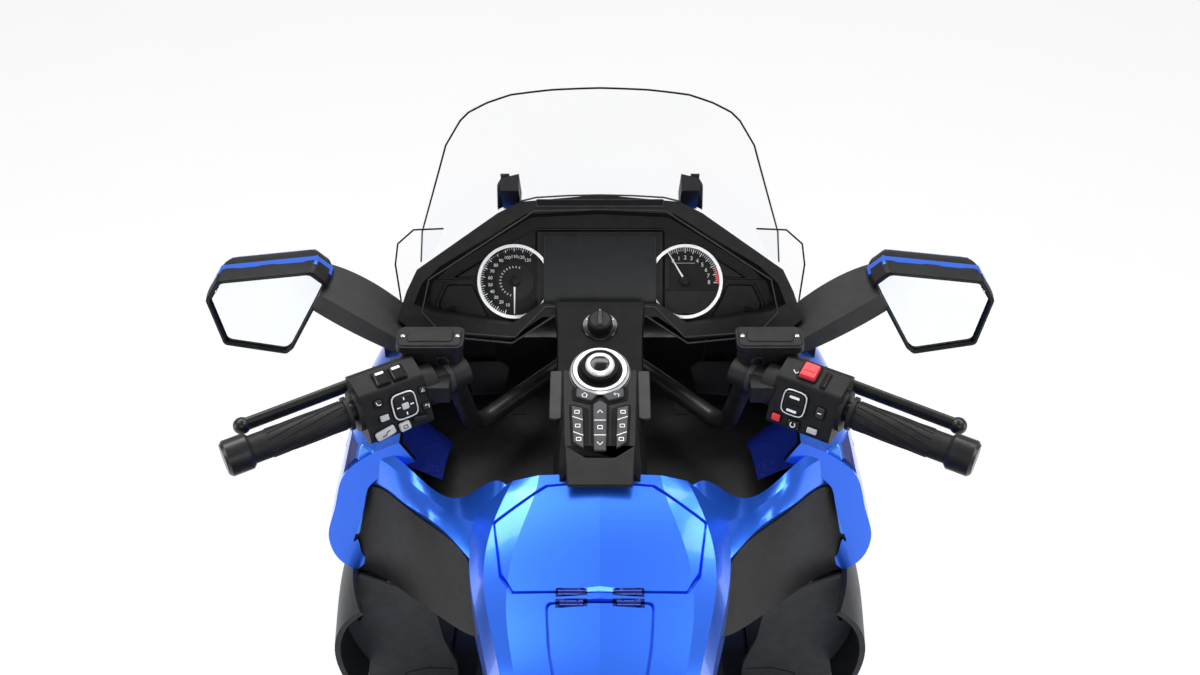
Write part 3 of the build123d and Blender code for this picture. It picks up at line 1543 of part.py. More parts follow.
with BuildPart() as bag_body:
    add(bag_shell.part)
    with Locations((BAG_SPLIT + 100, -800, BAG_SEAM_Z + 150)):
        Box(200, 700, 300, mode=Mode.SUBTRACT)
    for y in BAG_HINGE_SPOTS:
        add(hinge_rod(*BAG_HINGE, y - 11, y + 11, HINGE_R + 2.0), mode=Mode.SUBTRACT)
        for start in (y - 20, y + 11):
            add(hinge_rod(*BAG_HINGE, start, start + 9, HINGE_R + 1))
            with Locations((BAG_HINGE[0] - 6, start + 4.5, BAG_HINGE[1] - 8)):
                Box(12, 9, 12)
        add(hinge_rod(*BAG_HINGE, y - 12, y + 12, HINGE_PIN_R))
    with Locations((BAG_IN - 5, -700, 690)):
        Box(14, 120, 24)
    with Locations((BAG_IN - 5, -960, 712)):
        Box(14, 60, 20)
with BuildPart() as bag_lid:
    add(bag_shell.part)
    with Locations((BAG_SPLIT + PANEL_GAP + 100, -800, BAG_SEAM_Z + PANEL_GAP + 150)):
        Box(200, 700, 300, mode=Mode.INTERSECT)
    for y in BAG_HINGE_SPOTS:
        for start in (y - 21, y + 10):
            add(hinge_rod(*BAG_HINGE, start, start + 11, HINGE_R + 2.0), mode=Mode.SUBTRACT)
        add(hinge_rod(*BAG_HINGE, y - 10, y + 10, HINGE_R + 1))
        with Locations((BAG_HINGE[0] - 4, y, BAG_HINGE[1] + 6)):
            Box(8, 20, 10)
        add(hinge_rod(*BAG_HINGE, y - 30, y + 30, HINGE_PIN_R + AXLE_CLEARANCE), mode=Mode.SUBTRACT)

with BuildPart() as lid_left:
    mirror(bag_lid.part, about=Plane.YZ)

# ---------------------------------------------------------------- trunk with its lid
TRUNK_STATIONS = [
    (-1262, [(0, 1040), (150, 1034), (226, 1004), (240, 900), (220, 826), (0, 822)]),
    (-1180, [(0, 1096), (190, 1088), (272, 1040), (290, 900), (262, 806), (0, 800)]),
    (-980, [(0, 1112), (200, 1106), (286, 1056), (302, 900), (270, 796), (0, 790)]),
    (-866, [(0, 1092), (190, 1086), (262, 1040), (274, 900), (250, 812), (0, 806)]),
]
TRUNK_HINGE = (-869.0, 1092.0)
TRUNK_SEAM = [(-840, 1090), (-1300, 905)]
TRUNK_HINGE_SPOTS = (-130.0, 130.0)

with BuildPart() as trunk_shell:
    add(loft_of([(across(y), both_halves(points)) for y, points in TRUNK_STATIONS], 0))
    trunk_inner = []
    for index, (y, points) in enumerate(TRUNK_STATIONS):
        shift = WALL if index == 0 else (-WALL if index == len(TRUNK_STATIONS) - 1 else 0)
        trunk_inner.append((across(y + shift), shrink_station(both_halves(points), WALL)))
    add(loft_of(trunk_inner), mode=Mode.SUBTRACT)


def trunk_half_space(lift, up):
    """Everything above the trunk's seam, or below it."""
    (y0, z0), (y1, z1) = TRUNK_SEAM
    far = 1400 if up else 600
    with BuildPart() as region:
        with BuildSketch(along(-400)):
            Polygon((y0, z0 + lift), (y1, z1 + lift), (y1, far), (y0, far), align=None)
        extrude(amount=800)
    return region.part


with BuildPart() as trunk_box:
    add(trunk_shell.part)
    add(trunk_half_space(0, True), mode=Mode.SUBTRACT)
    for x in TRUNK_HINGE_SPOTS:
        add(hinge_line(x - 12, x + 12, *TRUNK_HINGE, HINGE_R + 2.5), mode=Mode.SUBTRACT)
        for start in (x - 22, x + 12):
            add(hinge_line(start, start + 10, *TRUNK_HINGE, HINGE_R + 1.5))
            with Locations((start + 5, TRUNK_HINGE[0] + 1, TRUNK_HINGE[1] - 12)):
                Box(10, 8, 22)
        add(hinge_line(x - 14, x + 14, *TRUNK_HINGE, HINGE_PIN_R))
    for side in (-1, 1):
        with Locations((side * RAIL_X, -975, 768)):
            Box(24, 60, 56)
with BuildPart() as trunk_lid:
    add(trunk_shell.part)
    add(trunk_half_space(PANEL_GAP, True), mode=Mode.INTERSECT)
    for x in TRUNK_HINGE_SPOTS:
        for start in (x - 23, x + 11):
            add(hinge_line(start, start + 12, *TRUNK_HINGE, HINGE_R + 2.5), mode=Mode.SUBTRACT)
            with Locations((start + 6, TRUNK_HINGE[0] + 1, TRUNK_HINGE[1] - 10)):
                Box(12, 16, 26, mode=Mode.SUBTRACT)
        add(hinge_line(x - 11, x + 11, *TRUNK_HINGE, HINGE_R + 1.5))
        with Locations((x, TRUNK_HINGE[0] - 8, TRUNK_HINGE[1] + 3)):
            Box(22, 16, 6)
        add(hinge_line(x - 30, x + 30, *TRUNK_HINGE, HINGE_PIN_R + AXLE_CLEARANCE), mode=Mode.SUBTRACT)

# ---------------------------------------------------------------- seat, backrest, side covers
SEAT_STATIONS = [
    (-776, [(0, 852), (120, 850), (150, 830), (158, 780), (150, 744), (0, 744)]),
    (-600, [(0, 846), (150, 844), (182, 826), (190, 780), (176, 742), (0, 742)]),
    (-474, [(0, 852), (150, 848), (184, 826), (188, 780), (168, 716), (0, 716)]),
    (-430, [(0, 790), (150, 788), (184, 772), (188, 740), (164, 694), (0, 694)]),
    (-340, [(0, SEAT_HEIGHT), (150, 762), (184, 748), (188, 716), (160, 676), (0, 676)]),
    (-240, [(0, SEAT_HEIGHT - 2), (110, 752), (142, 736), (148, 706), (132, 664), (0, 664)]),
    (-156, [(0, 806), (70, 802), (92, 780), (102, 730), (98, 664), (0, 664)]),
]
with BuildPart() as seat:
    add(loft_of([(across(y), both_halves(points)) for y, points in SEAT_STATIONS], ruled=True))
    for y in (-225, -400, -700):
        top = {-225: 680, -400: 700, -700: 760}[y]
        low = {-225: 595, -400: 655, -700: 712}[y]
        with Locations((0, y, (top + low) / 2)):
            Box(120, 36, top - low)
    add(tank_final.part, mode=Mode.SUBTRACT)
    add(frame.part, mode=Mode.SUBTRACT)
write(seat.part, "seat")

with BuildPart() as backrest:
    with BuildSketch(level(862)) as rest_low:
        Polygon((-150, -786), (150, -786), (200, -812), (210, -876), (-210, -876), (-200, -812), align=None)
        fillet(rest_low.vertices(), 14)
    with BuildSketch(level(1070)) as rest_high:
        Polygon((-130, -816), (130, -816), (172, -832), (180, -876), (-180, -876), (-172, -832), align=None)
        fillet(rest_high.vertices(), 12)
    loft()
    add(trunk_box.part, mode=Mode.SUBTRACT)
    add(trunk_lid.part, mode=Mode.SUBTRACT)
    add(seat.part, mode=Mode.SUBTRACT)
write(backrest.part, "backrest")

COVER_STATIONS = [
    (-440, [(166, 690), (186, 660), (190, 560), (182, 500)]),
    (-300, [(150, 668), (184, 640), (190, 540), (176, 480)]),
    (-120, [(112, 700), (160, 660), (178, 590), (178, 540)]),
]
with BuildPart() as cover_half:
    add(band_loft([(across(y), points) for y, points in COVER_STATIONS], -6))
    with Locations((158, -300, 585)):
        Box(54, 40, 16)
    with Locations((160, -215, 520)):
        Box(34, 30, 30)
    add(seat.part, mode=Mode.SUBTRACT)
    add(frame.part, mode=Mode.SUBTRACT)
    add(tank_final.part, mode=Mode.SUBTRACT)
    add(exhaust_half.part, mode=Mode.SUBTRACT)
write(pair_of(cover_half.part), "side_covers")

# ---------------------------------------------------------------- rear fender, lamps, plate
TAIL_PLATE = [
    (-1010, 690),
    (-1040, 716),
    (-1262, 690),
    (TAIL_Y + 10, 560),
    (TAIL_Y, 420),
    (TAIL_Y + 8, 420),
    (-1255, 560),
    (-1236, 676),
    (-1040, 700),
]
with BuildPart() as rear_fender:
    add(make_fender(REAR_AXLE_Y, REAR_AXLE_Z, REAR_TYRE_R + 24, 108, REAR_TYRE_R - 20, 5, 62, 112))
    with BuildSketch(along(-120)):
        Polygon(*TAIL_PLATE, align=None)
    extrude(amount=240)
    for y in (-700, -1000):
        with Locations((0, y, 700)):
            Box(60, 30, 40)
    add(frame.part, mode=Mode.SUBTRACT)
    add(trunk_box.part, mode=Mode.SUBTRACT)
    add(seat.part, mode=Mode.SUBTRACT)
write(rear_fender.part, "rear_fender")

with BuildPart() as plate:
    with BuildSketch(across(TAIL_Y + 3)):
        with Locations((0, 490)):
            Rectangle(190, 120)
        with Locations((-60, 525), (60, 525)):
            Circle(3.5, mode=Mode.SUBTRACT)
    extrude(amount=3)
    add(rear_fender.part, mode=Mode.SUBTRACT)
write(plate.part, "number_plate")

with BuildPart() as tail_lamps:
    for side in (-1, 1):
        with Locations((side * 170, -1266, 868)):
            Box(110, 16, 62)
    with Locations((0, -1268, 700)):
        Box(200, 14, 24)
    add(trunk_box.part, mode=Mode.SUBTRACT)
    add(rear_fender.part, mode=Mode.SUBTRACT)
write(tail_lamps.part, "tail_lamps")

with BuildPart() as trunk_final:
    add(trunk_box.part)
    add(frame.part, mode=Mode.SUBTRACT)
    add(rear_fender.part, mode=Mode.SUBTRACT)
write(trunk_final.part, "trunk_box")
write(trunk_lid.part, "trunk_lid")

with BuildPart() as bag_right_final:
    add(bag_body.part)
    add(frame.part, mode=Mode.SUBTRACT)
    add(rear_fender.part, mode=Mode.SUBTRACT)
    add(exhaust_half.part, mode=Mode.SUBTRACT)
write(bag_right_final.part, "saddlebag_right")
with BuildPart() as bag_left_final:
    mirror(bag_right_final.part, about=Plane.YZ)
    add(swingarm.part, mode=Mode.SUBTRACT)
write(bag_left_final.part, "saddlebag_left")
write(bag_lid.part, "saddlebag_lid_right")
write(lid_left.part, "saddlebag_lid_left")
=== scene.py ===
"""Touring motorcycle: materials, details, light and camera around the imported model.

Everything is in metres in the model's own frame: +Y forwards, +X the rider's right, +Z up.
"""

import math

import bmesh
import bpy
from mathutils import Matrix, Vector
from mathutils.bvhtree import BVHTree
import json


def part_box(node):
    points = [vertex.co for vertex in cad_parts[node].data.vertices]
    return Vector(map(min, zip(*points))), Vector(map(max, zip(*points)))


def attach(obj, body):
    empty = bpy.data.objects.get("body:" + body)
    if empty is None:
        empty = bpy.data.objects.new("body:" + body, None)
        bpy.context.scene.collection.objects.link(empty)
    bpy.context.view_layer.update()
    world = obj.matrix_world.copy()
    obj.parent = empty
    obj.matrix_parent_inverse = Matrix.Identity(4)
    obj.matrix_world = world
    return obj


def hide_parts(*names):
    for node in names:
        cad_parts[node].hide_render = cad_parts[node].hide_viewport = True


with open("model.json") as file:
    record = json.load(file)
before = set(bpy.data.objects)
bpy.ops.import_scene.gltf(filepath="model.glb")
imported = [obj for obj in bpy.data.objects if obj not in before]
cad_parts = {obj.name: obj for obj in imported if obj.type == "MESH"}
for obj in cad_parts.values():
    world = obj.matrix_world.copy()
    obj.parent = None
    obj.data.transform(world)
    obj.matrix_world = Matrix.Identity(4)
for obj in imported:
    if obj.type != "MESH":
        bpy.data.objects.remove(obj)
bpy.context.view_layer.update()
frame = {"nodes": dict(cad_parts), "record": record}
NODES = frame["nodes"]
MM = 0.001
ROOT = "machine"
STEER = "steering"
SIDES = ((-1, "left"), (1, "right"))


# ---------------------------------------------------------------- materials
NUMBER, VECTOR = "ShaderNodeMath", "ShaderNodeVectorMath"
PAINT_ROUGH, PAINT_METAL, PAINT_COAT, COAT_ROUGH = 0.24, 0.7, 0.35, 0.04
NOSE_MIDDLE = (0.0, 0.42, 0.84)
KNUCKLE_X, KNUCKLE_HALF, KNUCKLE_REACH = 34.0, 19.0, 6.2


def new_material(name):
    """A material with only its shader and output. Returns material, nodes, links and shader."""
    material = bpy.data.materials.new(name)
    material.use_nodes = True
    tree = material.node_tree
    return material, tree.nodes, tree.links, tree.nodes["Principled BSDF"]


def reckoned(nodes, links, kind, operation, *terms):
    """The outputs of a maths node, each of its terms a value or a socket to link."""
    node = nodes.new(kind)
    node.operation = operation
    for place, term in zip(node.inputs, terms):
        if isinstance(term, bpy.types.NodeSocket):
            links.new(term, place)
        else:
            place.default_value = term
    return node.outputs


def part_painted(nodes, links, shader, share, bare, paint):
    """Colours the shader bare where the share is 0, and with paint where it is 1."""
    mix = nodes.new("ShaderNodeMix")
    mix.data_type = "RGBA"
    links.new(share, mix.inputs["Factor"])
    mix.inputs["A"].default_value = (*bare, 1)
    links.new(paint, mix.inputs["B"])
    links.new(mix.outputs["Result"], shader.inputs["Base Color"])


def ramped(nodes, links, share, low, high):
    """A colour between two stops of (position, colour)."""
    ramp = nodes.new("ShaderNodeValToRGB")
    for stop, (position, colour) in zip(ramp.color_ramp.elements, (low, high)):
        stop.position = position
        stop.color = (*colour, 1)
    links.new(share, ramp.inputs["Fac"])
    return ramp.outputs["Color"]


def speckle(nodes, links, scale, dark, light, detail=3.0):
    """A noise that mixes two colours. Returns the ramp's colour output."""
    place = nodes.new("ShaderNodeTexCoord")
    noise = nodes.new("ShaderNodeTexNoise")
    noise.inputs["Scale"].default_value = scale
    noise.inputs["Detail"].default_value = detail
    links.new(place.outputs["Object"], noise.inputs["Vector"])
    return ramped(nodes, links, noise.outputs["Fac"], (0.35, dark), (0.65, light))


def grain(nodes, links, shader, scale, strength, distance=0.0004):
    """Fine bump from noise."""
    place = nodes.new("ShaderNodeTexCoord")
    noise = nodes.new("ShaderNodeTexNoise")
    noise.inputs["Scale"].default_value = scale
    bump = nodes.new("ShaderNodeBump")
    bump.inputs["Strength"].default_value = strength
    bump.inputs["Distance"].default_value = distance
    links.new(place.outputs["Object"], noise.inputs["Vector"])
    links.new(noise.outputs["Fac"], bump.inputs["Height"])
    links.new(bump.outputs["Normal"], shader.inputs["Normal"])


def surface(name, dark, light, rough, metal=0.0, scale=60.0, coat=0.0, bump=0.0, bump_scale=900.0,
        specular=0.5):
    """A mottled surface between two close colours, with an optional coat and grain."""
    material, nodes, links, shader = new_material(name)
    links.new(speckle(nodes, links, scale, dark, light), shader.inputs["Base Color"])
    shader.inputs["Roughness"].default_value = rough
    shader.inputs["Metallic"].default_value = metal
    shader.inputs["Specular IOR Level"].default_value = specular
    if coat:
        shader.inputs["Coat Weight"].default_value = coat
        shader.inputs["Coat Roughness"].default_value = 0.03
    if bump:
        grain(nodes, links, shader, bump_scale, bump)
    return material


def glass_material(name, tint, clear, rough=0.02):
    """Thin clear sheet: mostly see-through, with gloss."""
    material, nodes, links, shader = new_material(name)
    links.new(speckle(nodes, links, 4.0, tint, tuple(min(1, c * 1.03) for c in tint)),
        shader.inputs["Base Color"])
    shader.inputs["Roughness"].default_value = rough
    shader.inputs["Alpha"].default_value = clear
    shader.inputs["Specular IOR Level"].default_value = 0.5
    return material


def pearl(nodes, links):
    """The blue flake colour of the body panels."""
    return speckle(nodes, links, 1400.0, (0.026, 0.155, 0.90), (0.036, 0.19, 0.99))


def painted(name):
    """The blue paint under a thin coat."""
    material, nodes, links, shader = new_material(name)
    links.new(pearl(nodes, links), shader.inputs["Base Color"])
    shader.inputs["Roughness"].default_value = PAINT_ROUGH
    shader.inputs["Metallic"].default_value = PAINT_METAL
    shader.inputs["Coat Weight"].default_value = PAINT_COAT
    shader.inputs["Coat Roughness"].default_value = COAT_ROUGH
    return material


def lined(name, centre, lining):
    """A painted shell whose faces towards a middle point stay bare and dark."""
    material, nodes, links, shader = new_material(name)
    place = nodes.new("ShaderNodeNewGeometry")
    outwards = reckoned(nodes, links, VECTOR, "SUBTRACT", place.outputs["Position"], centre)["Vector"]
    facing = reckoned(nodes, links, VECTOR, "DOT_PRODUCT", outwards, place.outputs["True Normal"])["Value"]
    outside = reckoned(nodes, links, NUMBER, "GREATER_THAN", facing, 0.0)[0]
    part_painted(nodes, links, shader, outside, lining, pearl(nodes, links))
    for name, full in (("Coat Weight", PAINT_COAT), ("Metallic", PAINT_METAL)):
        links.new(reckoned(nodes, links, NUMBER, "MULTIPLY", outside, full)[0], shader.inputs[name])
    shader.inputs["Coat Roughness"].default_value = COAT_ROUGH
    shader.inputs["Roughness"].default_value = PAINT_ROUGH
    return material


def hinge_dark(name, axes):
    """Blue paint, its hinge knuckles about two axes along x a very dark blue, painted shade in the seams."""
    material = painted(name)
    nodes, links = material.node_tree.nodes, material.node_tree.links
    shader = nodes["Principled BSDF"]
    paint = shader.inputs["Base Color"].links[0].from_socket
    place = nodes.new("ShaderNodeTexCoord").outputs["Object"]
    flat = reckoned(nodes, links, VECTOR, "MULTIPLY", place, (0, 1, 1))["Vector"]
    reaches = []
    for y, z in axes:
        reaches.append(reckoned(nodes, links, VECTOR, "DISTANCE", flat, (0, y * MM, z * MM))["Value"])
    nearest = reckoned(nodes, links, NUMBER, "MINIMUM", *reaches)[0]
    far = reckoned(nodes, links, NUMBER, "GREATER_THAN", nearest, KNUCKLE_REACH * MM)[0]
    split = nodes.new("ShaderNodeSeparateXYZ")
    links.new(place, split.inputs[0])
    aside = reckoned(nodes, links, NUMBER, "ABSOLUTE", split.outputs["X"])[0]
    beside = reckoned(nodes, links, NUMBER, "COMPARE", aside, KNUCKLE_X * MM, KNUCKLE_HALF * MM)[0]
    outside = reckoned(nodes, links, NUMBER, "SUBTRACT", 1.0, beside)[0]
    either = reckoned(nodes, links, NUMBER, "MAXIMUM", far, outside)[0]
    # Painted shade: a very dark blue on the knuckles in the lids' seams.
    part_painted(nodes, links, shader, either, (0.004, 0.022, 0.2), paint)
    return material


PAINT = painted("blue paint")
NOSE_PAINT = lined("blue shell paint", NOSE_MIDDLE, (0.006, 0.006, 0.006))
TANK_PAINT = hinge_dark("tank paint", ((12, 938.5), (26, 941)))
BLACK = surface("black plastic", (0.0055, 0.0055, 0.006), (0.010, 0.010, 0.0105), 0.5, bump=0.25,
    specular=0.22)
SOFT_BLACK = surface("soft black", (0.003, 0.003, 0.0033), (0.006, 0.006, 0.0063), 0.62, bump=0.3,
    bump_scale=1300, specular=0.12)
GLOSS_BLACK = surface("gloss black", (0.003, 0.003, 0.0035), (0.006, 0.006, 0.0065), 0.16, coat=0.2,
    specular=0.3)
# Also the colour of the painted highlights along the hood rim's edges.
GREY = surface("dark grey plastic and painted highlight", (0.022, 0.0225, 0.024), (0.030, 0.031, 0.032), 0.45, bump=0.12,
    specular=0.25)
COWL_GREY = surface("cowl grey", (0.046, 0.047, 0.049), (0.058, 0.059, 0.061), 0.5, bump=0.3, specular=0.3)
MID_GREY = surface("mid grey plastic", (0.038, 0.039, 0.041), (0.05, 0.051, 0.053), 0.42, bump=0.12,
    specular=0.3)
BLACK_METAL = surface("satin black enamel", (0.006, 0.006, 0.0065), (0.011, 0.011, 0.0115), 0.36, coat=0.12,
    specular=0.3)
ALLOY = surface("cast alloy", (0.36, 0.37, 0.38), (0.46, 0.47, 0.48), 0.38, 1.0, 80.0, bump=0.2,
    bump_scale=500)
STEEL = surface("bright steel", (0.55, 0.55, 0.56), (0.68, 0.68, 0.69), 0.25, 1.0, 120.0)
CHROME = surface("chrome", (0.74, 0.75, 0.77), (0.82, 0.83, 0.84), 0.08, 1.0, 20.0)
SILVER = surface("satin silver", (0.78, 0.79, 0.80), (0.88, 0.88, 0.89), 0.3, 0.5, 200.0)
TYRE = surface("tyre rubber", (0.010, 0.010, 0.0105), (0.017, 0.017, 0.0175), 0.72, bump=0.5,
    bump_scale=700, specular=0.2)
RUBBER = surface("grip rubber", (0.006, 0.006, 0.0065), (0.011, 0.011, 0.0115), 0.5, bump=0.35,
    bump_scale=1600, specular=0.25)
SEAT = surface("seat vinyl", (0.008, 0.008, 0.0085), (0.014, 0.014, 0.0145), 0.5, bump=0.6, bump_scale=900,
    specular=0.25)
SEAM = surface("seam thread", (0.02, 0.02, 0.021), (0.035, 0.035, 0.036), 0.6, specular=0.2)
SCREEN = glass_material("clear screen", (0.86, 0.9, 0.92), 0.035)
LENS = glass_material("lamp lens", (0.86, 0.9, 0.94), 0.35)
RED_LENS = surface("red lens", (0.42, 0.006, 0.006), (0.6, 0.015, 0.012), 0.12, coat=0.8)
RED = surface("red switch", (0.62, 0.02, 0.03), (0.74, 0.04, 0.05), 0.35, coat=0.3)
MIRROR = surface("mirror glass", (0.84, 0.86, 0.87), (0.88, 0.90, 0.91), 0.03, 1.0, 8.0)
WHITE = surface("white marks", (0.78, 0.78, 0.78), (0.9, 0.9, 0.9), 0.4)
PALE = surface("pale marks", (0.42, 0.42, 0.43), (0.5, 0.5, 0.51), 0.4)
PLATE = surface("blank plate", (0.74, 0.74, 0.74), (0.8, 0.8, 0.8), 0.35, coat=0.3)
DISPLAY = surface("dark display", (0.012, 0.013, 0.014), (0.015, 0.016, 0.017), 0.2, specular=0.25)
DIAL = surface("dial face", (0.006, 0.006, 0.0065), (0.010, 0.010, 0.0105), 0.45, specular=0.15)
PANEL = surface("dash panel", (0.009, 0.009, 0.0095), (0.014, 0.014, 0.0145), 0.45, bump=0.1, specular=0.18)

BY_SLOT = {
    "body_paint": PAINT,
    "matt_black": BLACK,
    "dark_grey_plastic": GREY,
    "black_metal": BLACK_METAL,
    "steel": STEEL,
    "cast_alloy": ALLOY,
    "chrome": CHROME,
    "tyre_rubber": TYRE,
    "grip_rubber": RUBBER,
    "clear_screen": SCREEN,
    "lamp_lens": LENS,
    "red_lens": RED_LENS,
    "mirror_glass": MIRROR,
    "seat_leather": SEAT,
    "plate_white": PLATE,
}


BY_NODE = {
    "nose_fairing": NOSE_PAINT,
    "side_fairings": NOSE_PAINT,
    "tank_cover": TANK_PAINT,
    "glovebox_lid": TANK_PAINT,
    "fuel_lid": TANK_PAINT,
    "cylinder_heads": BLACK_METAL,
    "console": SOFT_BLACK,
    "gauge_rings": SILVER,
    "engine_block": BLACK_METAL,
}


def dress_nodes():
    """Each CAD node gets its own material where it has one, or else that of its slot."""
    for part in frame["record"]["subparts"]:
        node = NODES[part["node"]]
        for place in node.material_slots:
            place.material = BY_NODE.get(part["node"]) or BY_SLOT[part["material_slot"]]


# ---------------------------------------------------------------- shapes
class Place:
    """A frame in millimetres: origin, u, v and w, the last square to the face and outwards."""

    def __init__(self, origin, u, v, w):
        self.origin, self.u, self.v, self.w = (Vector(item) for item in (origin, u, v, w))
        self.u.normalize()
        self.v.normalize()
        self.w.normalize()

    def at(self, u, v, w=0.0):
        return (self.origin + self.u * u + self.v * v + self.w * w) * MM

    def moved(self, u, v, w=0.0):
        return Place(self.at(u, v, w) / MM, self.u, self.v, self.w)

    def turned(self, degrees):
        """The same frame with u and v turned about w."""
        c, s = math.cos(math.radians(degrees)), math.sin(math.radians(degrees))
        return Place(self.origin, self.u * c + self.v * s, self.v * c - self.u * s, self.w)


def facing_rear(at, side=1):
    """A frame that faces the rider: u to one side, v up."""
    return Place(at, (side, 0, 0), (0, 0, 1), (0, -1, 0))


def facing_aside(side, at):
    """A frame that faces out on one side, v up."""
    return Place(at, (0, side, 0), (0, 0, 1), (side, 0, 0))


def sided(points, side):
    """The same points with their first number turned to that side."""
    return [(side * point[0], *point[1:]) for point in points]


def on_body(obj, material, body=ROOT, smooth_angle=35):
    """Gives a new piece its material, its shading and its body."""
    obj.data.materials.clear()
    obj.data.materials.append(material)
    if obj.type == "MESH":
        obj.data.shade_smooth()
        obj.data.set_sharp_from_angle(angle=math.radians(smooth_angle))
    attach(obj, body)
    return obj


def new_object(name, vertices, faces):
    mesh = bpy.data.meshes.new(name)
    mesh.from_pydata([tuple(vertex) for vertex in vertices], [], faces)
    mesh.validate()
    mesh.update()
    obj = bpy.data.objects.new(name, mesh)
    bpy.context.scene.collection.objects.link(obj)
    return obj


def facing_out(obj):
    """Turns the faces outwards."""
    work = bmesh.new()
    work.from_mesh(obj.data)
    bmesh.ops.recalc_face_normals(work, faces=work.faces)
    work.to_mesh(obj.data)
    work.free()
    return obj


def bevelled(obj, width, segments=2):
    rounding = obj.modifiers.new("rounding", "BEVEL")
    rounding.width = width * MM
    rounding.segments = segments
    rounding.limit_method = "ANGLE"
    rounding.angle_limit = math.radians(40)
    return obj


def rounded(points, radius, steps=4):
    """A closed outline with its corners rounded."""
    result = []
    count = len(points)
    for index, corner in enumerate(points):
        here = Vector(corner)
        before = Vector(points[index - 1]) - here
        after = Vector(points[(index + 1) % count]) - here
        reach = min(radius, before.length * 0.45, after.length * 0.45)
        start, end = here + before.normalized() * reach, here + after.normalized() * reach
        for step in range(steps + 1):
            t = step / steps
            result.append(tuple(start * (1 - t) ** 2 + here * 2 * t * (1 - t) + end * t ** 2))
    return result


def mirrored(points):
    return [(-u, v) for u, v in reversed(points)]


def handed(points, side):
    """An outline of the left side, on that side."""
    return points if side < 0 else mirrored(points)


def whole(points):
    """A line from its left half, with the points on the middle once."""
    return points + mirrored([point for point in points if point[0]])


def inset(points, distance):
    """A closed outline moved inwards, or outwards when the distance is below nought."""
    area = sum(points[i - 1][0] * points[i][1] - points[i][0] * points[i - 1][1] for i in range(len(points)))
    turn = 1 if area > 0 else -1
    result = []
    for index, corner in enumerate(points):
        here = Vector(corner)
        a = (here - Vector(points[index - 1])).normalized()
        b = (Vector(points[(index + 1) % len(points)]) - here).normalized()
        normal_a, normal_b = Vector((-a.y, a.x)) * turn, Vector((-b.y, b.x)) * turn
        middle = (normal_a + normal_b).normalized()
        reach = distance / max(0.3, middle.dot(normal_a))
        result.append(tuple(here + middle * reach))
    return result


def plate(name, place, outline, w0, w1, material, body=ROOT, bevel=0.0, top_inset=0.0):
    """A plate over an outline from w0 up to w1, its top drawn in by top_inset."""
    upper = inset(outline, top_inset) if top_inset else outline
    vertices = [place.at(u, v, w0) for u, v in outline] + [place.at(u, v, w1) for u, v in upper]
    n = len(outline)
    faces = [tuple(range(n - 1, -1, -1)), tuple(range(n, 2 * n))]
    faces += [(i, (i + 1) % n, (i + 1) % n + n, i + n) for i in range(n)]
    obj = facing_out(new_object(name, vertices, faces))
    if bevel:
        bevelled(obj, bevel)
    return on_body(obj, material, body)


def frame_band(name, place, outline, width, w0, w1, material, body=ROOT, bevel=0.0):
    """A closed band of that width inside an outline."""
    inner = inset(outline, width)
    n = len(outline)
    vertices = []
    for w in (w0, w1):
        vertices += [place.at(u, v, w) for u, v in outline] + [place.at(u, v, w) for u, v in inner]
    faces = []
    for i in range(n):
        j = (i + 1) % n
        faces.append((2 * n + i, 2 * n + j, 3 * n + j, 3 * n + i))
        faces.append((i, n + i, n + j, j))
        faces.append((i, j, 2 * n + j, 2 * n + i))
        faces.append((n + i, 3 * n + i, 3 * n + j, n + j))
    obj = facing_out(new_object(name, vertices, faces))
    if bevel:
        bevelled(obj, bevel, 1)
    return on_body(obj, material, body)


def turned_form(name, place, profile, material, body=ROOT, segments=40, start=0.0, end=360.0):
    """A form turned about the frame's w axis from (radius, w) points."""
    full = end - start >= 360
    count = segments if full else segments + 1
    vertices = []
    for step in range(count):
        angle = math.radians(start + (end - start) * step / segments)
        for radius, w in profile:
            vertices.append(place.at(radius * math.cos(angle), radius * math.sin(angle), w))
    n = len(profile)
    faces = []
    for step in range(segments):
        a, b = step * n, ((step + 1) % count) * n
        for i in range(n - 1):
            faces.append((a + i, b + i, b + i + 1, a + i + 1))
    if not full:
        faces += [tuple(range(n)), tuple(reversed(range((count - 1) * n, count * n)))]
    obj = new_object(name, vertices, faces)
    work = bmesh.new()
    work.from_mesh(obj.data)
    bmesh.ops.remove_doubles(work, verts=work.verts, dist=1e-6)
    bmesh.ops.recalc_face_normals(work, faces=work.faces)
    work.to_mesh(obj.data)
    work.free()
    return on_body(obj, material, body)


def tubes(name, lines, radius, material, body=ROOT, closed=False, resolution=1, caps=False):
    """Round lines through points in metres, in one piece."""
    curve = bpy.data.curves.new(name, "CURVE")
    curve.dimensions = "3D"
    curve.bevel_depth = radius * MM
    curve.bevel_resolution = resolution
    curve.use_fill_caps = caps
    for points in lines:
        spline = curve.splines.new("POLY")
        spline.points.add(len(points) - 1)
        for point, place in zip(spline.points, points):
            point.co = (*place, 1)
        spline.use_cyclic_u = closed
    obj = bpy.data.objects.new(name, curve)
    bpy.context.scene.collection.objects.link(obj)
    curve.materials.append(material)
    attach(obj, body)
    return obj


def tube(name, points, radius, material, body=ROOT, closed=False):
    """One round line with closed ends."""
    return tubes(name, [points], radius, material, body, closed, resolution=3, caps=True)


def line(name, place, points, radius, material, body=ROOT, w=0.0, closed=False):
    """A round line drawn on a face."""
    return tube(name, [place.at(u, v, w) for u, v in points], radius, material, body, closed)


